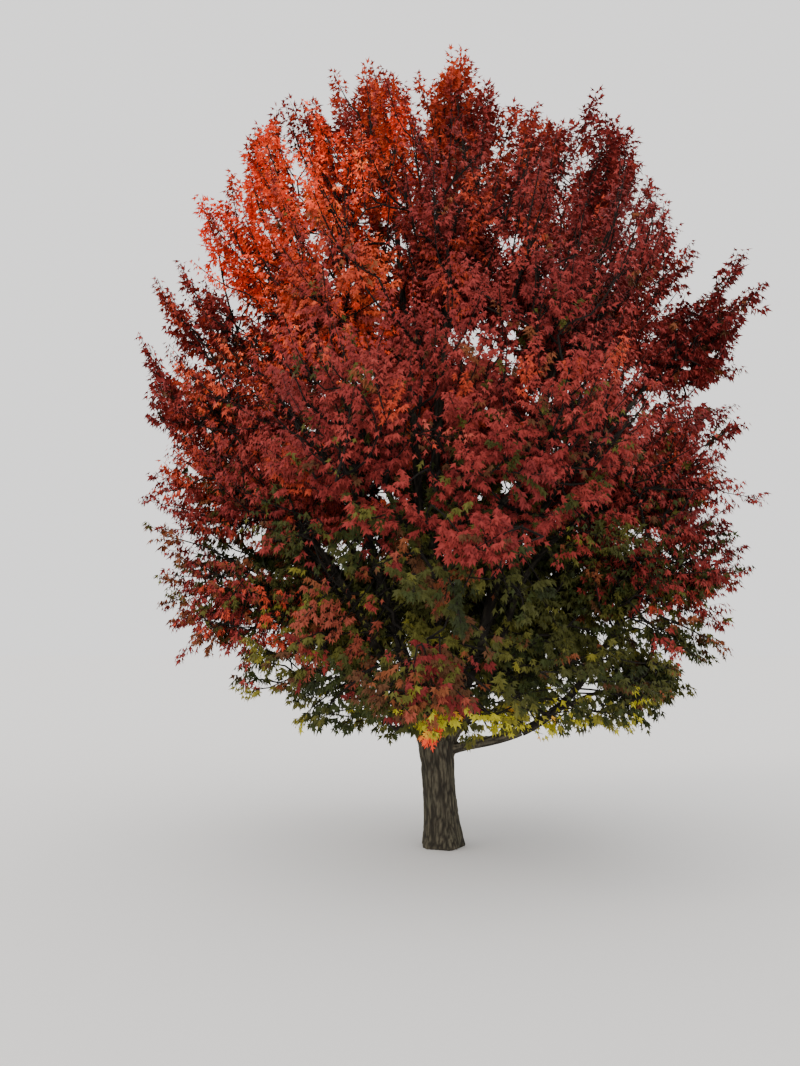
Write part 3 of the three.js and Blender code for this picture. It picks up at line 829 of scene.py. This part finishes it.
def make_mesh(name, vertices, faces, materials, tints=None, smooth=True):
    """One object from arrays of vertices and triangles."""
    mesh = bpy.data.meshes.new(name)
    mesh.vertices.add(len(vertices))
    mesh.vertices.foreach_set("co", np.ascontiguousarray(vertices, dtype=np.float32).ravel())
    mesh.loops.add(faces.size)
    mesh.loops.foreach_set("vertex_index", np.ascontiguousarray(faces, dtype=np.int32).ravel())
    mesh.polygons.add(len(faces))
    mesh.polygons.foreach_set("loop_start", np.arange(0, faces.size, 3, dtype=np.int32))
    for material in materials:
        mesh.materials.append(material)
    if tints is not None:
        mesh.polygons.foreach_set("material_index", np.ascontiguousarray(tints, dtype=np.int32))
    mesh.polygons.foreach_set("use_smooth", np.full(len(faces), smooth))
    mesh.update()
    mesh.validate()
    return new_object(name, mesh)


def ring_frames(line):
    """Two side directions at each point of a line, carried along it without twist."""
    tangents = unit(np.gradient(line, axis=0))
    side = np.cross(tangents[0], [0.3, 0.9, 0.1])
    sides = []
    for tangent in tangents:
        side = side - (side @ tangent) * tangent
        side = side / np.linalg.norm(side)
        sides.append(side)
    sides = np.array(sides)
    return sides, np.cross(tangents, sides)


def tube(line, radii, sides):
    """A tapering tube round a line: rings of vertices and closed ends."""
    first, second = ring_frames(line)
    angles = turns(sides)[None, :, None]
    ring = np.cos(angles) * first[:, None] + np.sin(angles) * second[:, None]
    radii = np.asarray(radii)
    vertices = line[:, None] + ring * (radii[..., None, None] if radii.ndim == 1 else radii[..., None])
    count = len(line)
    vertices = np.vstack([vertices.reshape(-1, 3), line[0], line[-1]])
    a = np.arange((count - 1) * sides)
    b = a - a % sides + (a + 1) % sides
    faces = [np.column_stack([a, b, b + sides]), np.column_stack([a, b + sides, a + sides])]
    rim = np.arange(sides)
    turned = (rim + 1) % sides
    foot, end = count * sides, count * sides + 1
    faces.append(np.column_stack([turned, rim, np.full(sides, foot)]))
    last = (count - 1) * sides
    faces.append(np.column_stack([last + rim, last + turned, np.full(sides, end)]))
    return vertices, np.vstack(faces)


# Bark


def furrow_at(x, y, z):
    """0 on a plate of bark and 1 in the furrow between two, from places already scaled to plates."""
    near = noise.voronoi((x, y, z))[0]
    edge = near[1] - near[0]
    return 1 - float(smooth_step(0.02, 0.34, edge))


def blurred(rows, step, width, **ends):
    """Rows of numbers smoothed from one to the next, with the rows past the ends made up as np.pad says."""
    reach = 12
    share = np.exp(-0.5 * (np.arange(-reach, reach + 1) * step / width) ** 2)
    padded = np.pad(rows, ((reach, reach), (0, 0)), **ends)
    return sum(w * padded[k : k + len(rows)] for k, w in enumerate(share / share.sum()))


def trunk_tube():
    """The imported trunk, its facets smoothed, with the groove up its near side."""
    points, faces = node_mesh("trunk")
    tree = BVHTree.FromPolygons(points.tolist(), faces.tolist())
    top = points[:, 2].max()
    heights = np.linspace(0.001, 0.985 * top, TRUNK_RINGS)
    angles = turns(TRUNK_SIDES)
    middles = np.column_stack([FORK[0] / FORK[2] * heights, 0 * heights, heights])
    radii = np.zeros((TRUNK_RINGS, TRUNK_SIDES))
    for i, middle in enumerate(middles):
        for j, angle in enumerate(angles):
            out = Vector((math.cos(angle), math.sin(angle), 0))
            start = Vector(middle) + out
            radii[i, j] = 1 - (tree.ray_cast(start, -out)[3] or 1)
    radii = blurred(radii.T, 360 / TRUNK_SIDES, 8.0, mode="wrap").T
    radii = blurred(radii, heights[1] - heights[0], 0.03, mode="reflect", reflect_type="odd")
    away = (angles - math.radians(GROOVE_BEARING)) / math.radians(GROOVE_WIDTH)
    rise = smooth_step(0.1, 0.5, heights)[:, None]
    radii = radii - GROOVE_DEPTH * rise * np.exp(-(away**2))[None]
    ring = np.column_stack([np.cos(angles), np.sin(angles), 0 * angles])
    vertices = middles[:, None] + ring[None] * radii[..., None]
    faces = tube(middles, radii[:, 0], TRUNK_SIDES)[1]
    return np.vstack([vertices.reshape(-1, 3), middles[0], middles[-1]]), faces


def remesh(vertices, faces, voxel):
    """One closed skin round overlapping closed shapes, as vertices, triangles and normals."""
    piece = make_mesh("wood_draft", vertices, faces, [])
    modifier = piece.modifiers.new("skin", "REMESH")
    modifier.mode = "VOXEL"
    modifier.voxel_size = voxel
    ease = piece.modifiers.new("ease", "SMOOTH")
    ease.factor = 0.5
    ease.iterations = 3
    split = piece.modifiers.new("split", "TRIANGULATE")
    split.quad_method = "FIXED"
    solid = piece.evaluated_get(bpy.context.evaluated_depsgraph_get()).to_mesh()
    count = len(solid.vertices)
    points, normals = np.empty(count * 3), np.empty(count * 3)
    solid.vertices.foreach_get("co", points)
    solid.vertices.foreach_get("normal", normals)
    corners = np.empty(len(solid.polygons) * 3, dtype=np.int32)
    solid.loops.foreach_get("vertex_index", corners)
    bpy.data.objects.remove(piece, do_unlink=True)
    return points.reshape(-1, 3), corners.reshape(-1, 3), normals.reshape(-1, 3)


def along_wood(points, limbs):
    """Places on the trunk and limb feet, measured across and along the piece of wood they lie on."""
    stub = int(STUB_LENGTH / LIMB_STEP) + 4
    rising = [limb for limb in limbs.values() if not limb["carrier"]]
    lines = [np.linspace(0, 1, TRUNK_POINTS)[:, None] * FORK] + [limb["line"][:stub] for limb in rising]
    widths = [np.full(TRUNK_POINTS, TRUNK_RADIUS)] + [limb["radius"][:stub] for limb in rising]
    best = np.full(len(points), np.inf)
    place = np.zeros((len(points), 3))
    for k, (line, width) in enumerate(zip(lines, widths)):
        first, second = ring_frames(line)
        lengths = polyline_lengths(line)
        tangents = np.cross(first, second)
        far = sizes(points[:, None] - line[None]) - width[None]
        near = far.argmin(axis=1)
        better = far.min(axis=1) < best
        best = np.minimum(best, far.min(axis=1))
        gap = points - line[near]
        local = np.column_stack([
            (gap * first[near]).sum(axis=1) + 3 * k,
            (gap * second[near]).sum(axis=1),
            (gap * tangents[near]).sum(axis=1) + lengths[near],
        ])
        place[better] = local[better]
    return place


def wood_fork(limbs, bark):
    """The trunk and the feet of the limbs in one skin, with furrowed bark."""
    parts = Builder()
    parts.add(*trunk_tube())
    for limb in limbs.values():
        if limb["carrier"]:
            continue
        lengths = polyline_lengths(limb["line"])
        kept = lengths < STUB_LENGTH + FOOT_DEPTH
        radii = limb["radius"][kept] * (1 - 0.06 * smooth_step(0.8, 1.0, lengths[kept] / lengths[kept][-1]))
        parts.add(*tube(limb["line"][kept], radii, STUB_SIDES))
    points, faces, normals = remesh(np.vstack(parts.vertices), np.vstack(parts.faces), FORK_VOXEL)
    values = np.zeros(len(points))
    scale = FURROW_SCALE
    for i, (x, y, z) in enumerate(along_wood(points, limbs).tolist()):
        sway = 0.12 * math.sin(5 * z + 9 * x)
        values[i] = furrow_at(scale * x + sway, scale * y - sway, scale / FURROW_STRETCH * z)
    fine = np.array([noise.noise((60 * x, 60 * y, 22 * z)) for x, y, z in points.tolist()])
    upright = 1 - smooth_step(-0.5, -0.9, normals[:, 2])
    depth = FURROW_DEPTH * (1 - 0.45 * smooth_step(0.95, 1.4, points[:, 2])) * upright
    points = points - normals * (depth * (values - FURROW_LEVEL) - FINE_RELIEF * fine * upright)[:, None]
    points[:, 2] = np.where(points[:, 2] < 0.006, 0.0, points[:, 2])
    builder = Builder()
    builder.add(points, faces, values)
    return builder.make("wood_trunk_and_fork", bark)


def wood_limbs(limbs, bark):
    """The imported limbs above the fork, with bark that grows finer as they thin."""
    builder = Builder()
    scale = LIMB_FURROW_SCALE
    for k, limb in enumerate(limbs.values()):
        lengths = polyline_lengths(limb["line"])
        start = 0 if limb["carrier"] else STUB_LENGTH + FOOT_DEPTH - STUB_OVERLAP
        kept = lengths >= start
        line, radii = resample(limb["line"][kept], limb["radius"][kept], LIMB_RING_STEP)
        lengths = polyline_lengths(line)
        angles = turns(LIMB_SIDES)
        wide = np.zeros((len(line), LIMB_SIDES))
        values = np.zeros((len(line), LIMB_SIDES))
        for i, (along, radius) in enumerate(zip(lengths, radii)):
            for j, angle in enumerate(angles):
                x, y = radius * math.cos(angle), radius * math.sin(angle)
                values[i, j] = furrow_at(scale * x + 7 * k, scale * y, scale / FURROW_STRETCH * along)
                lump = noise.noise((9 * x + 5 * k, 9 * y, 3 * along))
                relief = LIMB_LUMP * lump - LIMB_FURROW * (values[i, j] - FURROW_LEVEL)
                wide[i, j] = radius * (1 + relief)
        # Limbs are painted darker than the trunk, as painted shade inside the crown
        shade = LIMB_SHADE[0] + LIMB_SHADE[1] * np.append(values.ravel(), [0.5, 0.5])
        builder.add(*tube(line, wide, LIMB_SIDES), shade)
    return builder.make("wood_limbs", bark)


def wood_branches(skeleton, bark):
    """The branches that grow on from the limbs into the masses."""
    count = skeleton.count
    parent = skeleton.parent[:count]
    heir = np.full(count, -1)
    grown = np.flatnonzero(~skeleton.is_limb[:count])
    for i in grown:
        p = parent[i]
        if skeleton.is_limb[p] and skeleton.is_limb[p + 1] and parent[p + 1] == p:
            continue
        if heir[p] < 0 or skeleton.radius[i] > skeleton.radius[heir[p]]:
            heir[p] = i
    builder = Builder()
    for i in grown:
        p = parent[i]
        if heir[p] == i and not skeleton.is_limb[p]:
            continue
        chain = [i]
        while heir[chain[-1]] >= 0:
            chain.append(heir[chain[-1]])
        radii = skeleton.radius[chain]
        foot = skeleton.radius[p] if heir[p] == i else min(radii[0] * 1.1, skeleton.radius[p])
        line = np.vstack([skeleton.place[p], skeleton.place[chain]])
        radii = np.append(foot, radii)
        kept = np.unique(np.append(np.arange(0, len(line), 2), len(line) - 1))
        sides = 3 + (radii[0] > BRANCH_SIZES[0]) + 2 * (radii[0] > BRANCH_SIZES[1])
        builder.add(*tube(line[kept], radii[kept], sides))
    return builder.make("wood_branches", bark)


# Twigs and leaves


def side_shoots(plumes, masses):
    """Side shoots in opposite pairs along each plume, shorter towards its tip, which is a leafy spire."""
    rows = []
    for index, plume in enumerate(plumes):
        axis = plume["axis"]
        trim = plume["trim"] + MASS_TRIM.get(plume["mass"].name, 0.0)
        close = [mass for mass in masses if mass.is_near(axis[len(axis) // 2], MASS_NEARBY)]
        headings = unit(np.gradient(axis, axis=0))
        out = unit((axis[-1] - CROWN_AXIS) * ROUNDING)
        first = unit(np.cross(headings, out))
        second = np.cross(headings, first)
        roll = rng.normal(0, 0.35)
        last = len(axis) - 1
        spire = between(SPIRE, smooth_step(2.5, 4.5, axis[-1][2]))
        crest = min(last - 1, max(1, int(round(last * (1 - spire)))))
        for k in range(1, crest + 1):
            share = k / crest
            upright = k % 3 == 0
            turn = roll + (math.pi / 2 if upright else rng.normal(0, 0.2))
            side = math.cos(turn) * first[k] + math.sin(turn) * second[k]
            angle = math.radians(SHOOT_ANGLE) * (1.15 - 0.45 * share)
            for sign in (1, -1):
                if rng.random() < SHOOT_MISSING:
                    continue
                heading = math.cos(angle) * headings[k] + sign * math.sin(angle) * side
                heading = unit(heading + SHOOT_LIFT * UP + rng.normal(0, 0.09, 3))
                length = between(SHOOT_LENGTH, share)
                length = length * rng.uniform(*SHOOT_VARIES) * (UPRIGHT_SHOOT if upright else 1.0)
                end = axis[k] + length * heading
                if plume["trim"] == EMBER_TRIM:
                    rows.append((axis[k], heading, EMBER_SHOOT, index, 0.8 * share))
                elif any(mass.holds(end, trim) for mass in close):
                    rows.append((axis[k], heading, length, index, 0.8 * share))
        way = axis[-1] - axis[crest]
        rows.append((axis[crest], unit(way), np.linalg.norm(way), index, 1.0))
    names = ("foot", "heading", "length", "plume", "share")
    return {name: np.array([row[i] for row in rows]) for i, name in enumerate(names)}


def along_shoot(shoots, picked, reach):
    """Places on shoots at some way from their feet."""
    return shoots["foot"][picked] + shoots["heading"][picked] * reach[:, None]


def wood_twigs(shoots, bark):
    """Every side shoot as a thin three-sided twig that ends in a point."""
    count = len(shoots["length"])
    first = unit(np.cross(shoots["heading"], [0.31, 0.17, 0.93]))
    second = np.cross(shoots["heading"], first)
    corners = []
    for angle in turns(3):
        side = math.cos(angle) * first + math.sin(angle) * second
        corners.append(shoots["foot"] + TWIG_RADIUS * side)
    corners.append(along_shoot(shoots, np.arange(count), shoots["length"]))
    vertices = np.stack(corners, axis=1).reshape(-1, 3)
    pattern = np.array([(0, 1, 3), (1, 2, 3), (2, 0, 3)])
    faces = (pattern[None] + 4 * np.arange(count)[:, None, None]).reshape(-1, 3)
    builder = Builder()
    builder.add(vertices, faces)
    return builder.make("wood_twigs", bark)


def place_leaves(shoots):
    """Opposite pairs of leaves along each shoot and one at its end, as arrays for every leaf."""
    length, heading = shoots["length"], shoots["heading"]
    _, away, high = shoots["foot"].T
    inner = INNER_GROWTH * (1 - 0.7 * smooth_step(5.0, 6.5, high))
    growth = 1 + inner * (1 - shoots["share"])
    growth = growth * (1 + BACK_GROWTH * smooth_step(0.2, 1.6, away))
    growth = growth * (1 + NEAR_GROWTH * smooth_step(0.2, -1.3, away))
    pairs = np.maximum(1, np.round(length / (LEAF_STEP * growth)).astype(int))
    first = unit(np.cross(heading, [0.31, 0.17, 0.93]))
    second = np.cross(heading, first)
    roll = rng.uniform(0, 2 * math.pi, len(length))
    rows = []
    for k in range(pairs.max()):
        picked = np.flatnonzero(pairs > k)
        reach = length[picked] * (k + 0.9) / (pairs[picked] + 0.35)
        turn = (roll[picked] + k * math.pi / 2)[:, None]
        side = np.cos(turn) * first[picked] + np.sin(turn) * second[picked]
        place = along_shoot(shoots, picked, reach)
        for sign in (1, -1):
            rows.append((place, 0.55 * heading[picked] + 0.85 * sign * side + 0.05 * UP, picked))
    everyone = np.arange(len(length))
    rows.append((along_shoot(shoots, everyone, length), heading, everyone))
    place, stalk, shoot = [np.concatenate(column) for column in zip(*rows)]
    count = len(place)
    stalk = unit(stalk + rng.normal(0, STALK_SPREAD, place.shape))
    outward = unit((place - CROWN_AXIS) * [1, 1, 0.5])
    spire = shoots["share"][shoot] >= 1
    stalk_length = np.where(spire, STALK_LENGTH * rng.uniform(0.7, 1.25, count), SHORT_STALK)
    hang = between(LEAF_HANG, smooth_step(4.0, 7.5, place[:, 2]))
    axis = unit(0.6 * stalk - hang[:, None] * UP + 0.2 * outward + rng.normal(0, LEAF_SPREAD[0], (count, 3)))
    face = 0.5 * UP + 0.7 * outward + rng.normal(0, LEAF_SPREAD[1], (count, 3))
    normal = unit(face - (face * axis).sum(axis=1, keepdims=True) * axis)
    return {
        "place": place,
        "base": place + stalk * stalk_length[:, None],
        "axis": axis,
        "normal": normal,
        "across": np.cross(axis, normal),
        "length": rng.uniform(*LEAF_LENGTH, count) * growth[shoot],
        "spire": spire,
        "curl": rng.uniform(*LEAF_CURL, count),
        "shoot": shoot,
    }


def seen_from_camera(places):
    """Where places lie in the picture, as tangents across and up, and how far they are."""
    gap = places - np.array(EYE)
    pitch = math.radians(EYE_PITCH)
    far = gap @ [0, math.cos(pitch), math.sin(pitch)]
    high = gap @ [0, -math.sin(pitch), math.cos(pitch)]
    return np.column_stack([gap[:, 0] / far, high / far]), far


def shown_wood(limbs, plumes):
    """Lines of wood that show between the leaves: parts of limbs, and the stems of some leafy branches."""
    lines = []
    for name, (low, high) in SHOWN_LIMBS.items():
        line = resample(limbs[name]["line"], limbs[name]["radius"], SHOWN_WIDTH / 2)[0]
        lines.append((line[(line[:, 2] > low) & (line[:, 2] < high)], SHOWN_WIDTH))
    for plume in plumes:
        axis = plume["axis"]
        if axis[0, 1] < STEM_SIDE and rng.random() < STEM_SHARE:
            stem = axis[: max(2, int(STEM_PART * len(axis)))]
            lines.append((resample(stem, stem[:, 2], STEM_WIDTH)[0], STEM_WIDTH))
    return lines


def open_to_wood(leaves, lines):
    """Takes away most leaves that stand in front of the wood that shows."""
    seen, far = seen_from_camera(leaves["base"])
    order = seen[:, 0].argsort()
    sorted_across = seen[order, 0]
    hides = np.zeros(len(seen), bool)
    for line, width in lines:
        line_seen, line_far = seen_from_camera(line)
        for spot, spot_far in zip(line_seen, line_far):
            reach = width / spot_far
            first, last = np.searchsorted(sorted_across, [spot[0] - reach, spot[0] + reach])
            near = order[first:last]
            aside = sizes(seen[near] - spot)
            hides[near[(aside < reach) & (far[near] < spot_far)]] = True
    kept = ~hides | (rng.random(len(seen)) > SHOWN_SHARE)
    return {key: values[kept] for key, values in leaves.items()}


def leaf_piece(name, leaves, picked, tints, materials):
    """The leaves of one mass as one mesh, with the stalks of those that stand apart."""
    used, slots = np.unique(tints[picked], return_inverse=True)
    size = leaves["length"][picked][:, None, None]
    shape = np.repeat(LEAF_OUTLINE[None], len(picked), axis=0) * size
    shape[:, :, 2] *= leaves["curl"][picked][:, None]
    vertices = (
        leaves["base"][picked][:, None]
        + shape[:, :, 0:1] * leaves["across"][picked][:, None]
        + shape[:, :, 1:2] * leaves["axis"][picked][:, None]
        + shape[:, :, 2:3] * leaves["normal"][picked][:, None]
    )
    corners = len(LEAF_OUTLINE)
    faces = LEAF_FACES[None] + corners * np.arange(len(picked))[:, None, None]
    tint_of_face = np.repeat(slots, len(LEAF_FACES))
    spire = np.flatnonzero(leaves["spire"][picked])
    half = 0.5 * STALK_WIDTH * leaves["across"][picked[spire]]
    foot = leaves["place"][picked[spire]]
    stalks = np.stack([foot - half, foot + half], axis=1)
    first = corners * len(picked) + 2 * np.arange(len(spire))
    faces = np.vstack([faces.reshape(-1, 3), np.column_stack([first, first + 1, corners * spire])])
    tint_of_face = np.concatenate([tint_of_face, slots[spire]])
    vertices = np.vstack([vertices.reshape(-1, 3), stalks.reshape(-1, 3)])
    used = [materials[i] for i in used]
    return make_mesh(name, vertices, faces, used, tint_of_face, False)


def spray_tints(shoots, plumes):
    """The tint of each side shoot's leaves, from the part of the crown and from soft clumps of colour."""
    names = list(TINTS)
    place = shoots["foot"]
    count = len(place)
    radial = sizes((place - CROWN_AXIS) / CROWN_REACH)
    across, _, high = place.T
    low_inside = smooth_step(*GREEN_HEIGHTS, high) * smooth_step(*GREEN_REACH, radial)
    low_front = smooth_step(*FRONT_HEIGHTS, high) * smooth_step(*FRONT_WIDTH, np.abs(across - 0.1))
    green = np.maximum(low_inside, low_front)
    fringe = smooth_step(*FRINGE_HEIGHTS, high)
    shaded = SHADED_SHARE * smooth_step(0.6, 0.15, shoots["share"])
    shaded = shaded * (1 - 0.8 * smooth_step(4.5, 6.0, high))
    tints = np.zeros(count, dtype=int)
    lean = rng.normal(0, PLUME_LEAN, len(plumes))
    plume_luck = rng.random(len(plumes))
    sunlit = smooth_step(1.2, 0.75, sizes((place - SUN_MIDDLE) / SUN_REACH))
    for i in range(count):
        x, y, z = place[i]
        index = shoots["plume"][i]
        mass = plumes[index]["mass"]
        palette = plumes[index]["palette"] or MASS_PALETTES[mass.name]
        luck, other_luck = rng.random(2)
        # Painted sunlight: plumes in the patch high on the left take the sunlit palette
        if plume_luck[index] < sunlit[i]:
            palette = "sunlit"
        keeps_red = palette in ("salmon", "ember") or palette == "tuft" and z > TUFT_FOOT
        if luck < green[i] and not keeps_red:
            palette = "olive" if other_luck < 0.5 else "inside"
        elif luck < shaded[i]:
            # High in the crown the shaded shoots take lighter reds, painted light against their shade
            palette = "shaded_high" if z > 3.6 + 0.8 * other_luck else "shaded"
        # The fringe along the crown's foot: partly painted backlight glowing yellow through the leaves
        if other_luck < fringe[i] and palette != "ember":
            palette = "fringe"
        clump = noise.noise((1.3 * x, 1.3 * y, 1.3 * z)) + 0.4 * noise.noise((3 * x, 3 * y, 3 * z))
        # Painted light: leaves deeper inside their mass take lighter tints, against the shade there
        depth = max(0.0, mass.depth(place[i]) - 0.12)
        level = 0.5 + CLUMP_LEAN * clump + lean[index] + rng.normal(0, SHOOT_LEAN) + INNER_PAINTED_FILL * depth
        weights = PALETTES[palette]
        steps = np.cumsum(list(weights.values()))
        pick = int(np.searchsorted(steps / steps[-1], np.clip(level, 0, 0.999)))
        tints[i] = names.index(list(weights)[pick])
    return tints


# Materials


def linear(colour):
    """A picture's 0 to 255 colour as the light it stands for."""
    share = np.array(colour) / 255
    return tuple(np.where(share <= 0.04045, share / 12.92, ((share + 0.055) / 1.055) ** 2.4)) + (1.0,)


def new_material(name, colour, roughness, specular):
    material = bpy.data.materials.new(name)
    material.use_nodes = True
    shader = material.node_tree.nodes["Principled BSDF"]
    shader.inputs["Base Color"].default_value = colour
    shader.inputs["Roughness"].default_value = roughness
    shader.inputs["Specular IOR Level"].default_value = specular
    return material


def bark_material():
    """Grey-brown bark: pale worn plates, dark furrows partly of painted shade, and grey-green bloom in
    patches.
    """
    material = new_material("bark", linear(BARK_PLATES[1]), 0.9, 0.2)
    nodes, links = material.node_tree.nodes, material.node_tree.links

    def add(kind, values, **joined):
        """A node with some values set and some inputs joined to other nodes' outputs."""
        node = nodes.new("ShaderNode" + kind)
        if kind == "Mix":
            node.data_type = "RGBA"
        for name, value in values.items():
            node.inputs[name].default_value = value
        for name, output in joined.items():
            links.new(output, node.inputs[name])
        return node

    place = add("TexCoord", {}).outputs["Object"]
    stretch = add("Mapping", {"Scale": (1, 1, 0.25)}, Vector=place)
    grain = add("TexNoise", {"Scale": 70, "Detail": 6}, Vector=stretch.outputs["Vector"]).outputs["Fac"]
    patches = add("TexNoise", {"Scale": 5, "Detail": 3}, Vector=place).outputs["Fac"]
    plate = add("ValToRGB", {}, Fac=grain)
    for stop, position, colour in zip(plate.color_ramp.elements, (0.3, 0.7), BARK_PLATES):
        stop.position = position
        stop.color = linear(colour)
    spread = add("MapRange", {"From Min": 0.5, "From Max": 0.7, "To Max": 0.5}, Value=patches)
    bloom = add(
        "Mix", {"B": linear(BARK_BLOOM)}, Factor=spread.outputs["Result"], A=plate.outputs["Color"]
    )
    furrow = add("Attribute", {})
    furrow.attribute_name = "furrow"
    depth = add("Math", {1: 0.85})
    depth.operation = "MULTIPLY"
    links.new(furrow.outputs["Fac"], depth.inputs[0])
    # The furrow colour: partly painted shade in the furrows, and painted shade on limbs, branches and twigs
    dark = add(
        "Mix", {"B": linear(BARK_FURROW_AND_SHADE)}, Factor=depth.outputs["Value"], A=bloom.outputs["Result"]
    )
    bump = add("Bump", {"Strength": 0.5, "Distance": 0.004}, Height=grain)
    shader = nodes["Principled BSDF"]
    links.new(dark.outputs["Result"], shader.inputs["Base Color"])
    links.new(bump.outputs["Normal"], shader.inputs["Normal"])
    return material


# Floor, light and camera


def make_stage():
    """A wide pale floor that looks as bright as the world behind it."""
    mesh = bpy.data.meshes.new("floor")
    far = FLOOR_REACH
    mesh.from_pydata([(-far, -far, 0), (far, -far, 0), (far, far, 0), (-far, far, 0)], [], [(0, 1, 2, 3)])
    floor = new_object("floor", mesh)
    floor.location.z = -0.002
    lamp_light = sum(power * math.cos(math.radians(turn[0])) for _, power, _, turn, _ in LAMPS) / math.pi
    share = WORLD_STRENGTH / (WORLD_STRENGTH * WORLD_COLOUR[1] + lamp_light)
    mesh.materials.append(new_material("pale_floor", (*[share * c for c in WORLD_COLOUR], 1), 0.9, 0.0))


def make_light():
    world = bpy.data.worlds.new("pale_studio")
    bpy.context.scene.world = world
    world.use_nodes = True
    sky = world.node_tree.nodes["Background"]
    sky.inputs["Color"].default_value = (*WORLD_COLOUR, 1)
    sky.inputs["Strength"].default_value = WORLD_STRENGTH
    for name, power, wide, turn, colour in LAMPS:
        lamp = bpy.data.lights.new(name, "SUN")
        lamp.energy = power
        lamp.angle = math.radians(wide)
        lamp.color = colour
        new_object(name, lamp).rotation_euler = [math.radians(angle) for angle in turn]


def make_camera():
    lens = bpy.data.cameras.new("camera")
    lens.lens = LENS
    lens.sensor_width = SENSOR
    camera = new_object("camera", lens)
    camera.location = EYE
    camera.rotation_euler = (math.radians(90 + EYE_PITCH), 0, 0)
    bpy.context.scene.camera = camera


def main():
    make_camera()
    bark = bark_material()
    leaf_materials = [new_material(f"leaf_{name}", linear(tint), 0.6, 0.08) for name, tint in TINTS.items()]
    limbs = read_limbs()
    masses = [Mass(name) for name in MASS_NAMES]
    plumes = place_plumes(masses)
    skeleton = grow(limbs, plumes)
    thicken(skeleton, plumes)
    shoots = side_shoots(plumes, masses)
    leaves = open_to_wood(place_leaves(shoots), shown_wood(limbs, plumes))
    tints = spray_tints(shoots, plumes)[leaves["shoot"]]
    owner = np.array([plume["mass"].name for plume in plumes])[shoots["plume"][leaves["shoot"]]]
    wood = [wood_fork(limbs, bark), wood_limbs(limbs, bark)]
    wood += [wood_branches(skeleton, bark), wood_twigs(shoots, bark)]
    for piece in wood:
        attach(piece, "root")
    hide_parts("trunk")
    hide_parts(*LIMB_NAMES)
    for name in MASS_NAMES:
        picked = np.flatnonzero(owner == name)
        piece = leaf_piece(f"leaves_{name}", leaves, picked, tints, leaf_materials)
        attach(piece, "root")
        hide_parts(f"foliage_{name}")
    make_stage()
    make_light()


main()
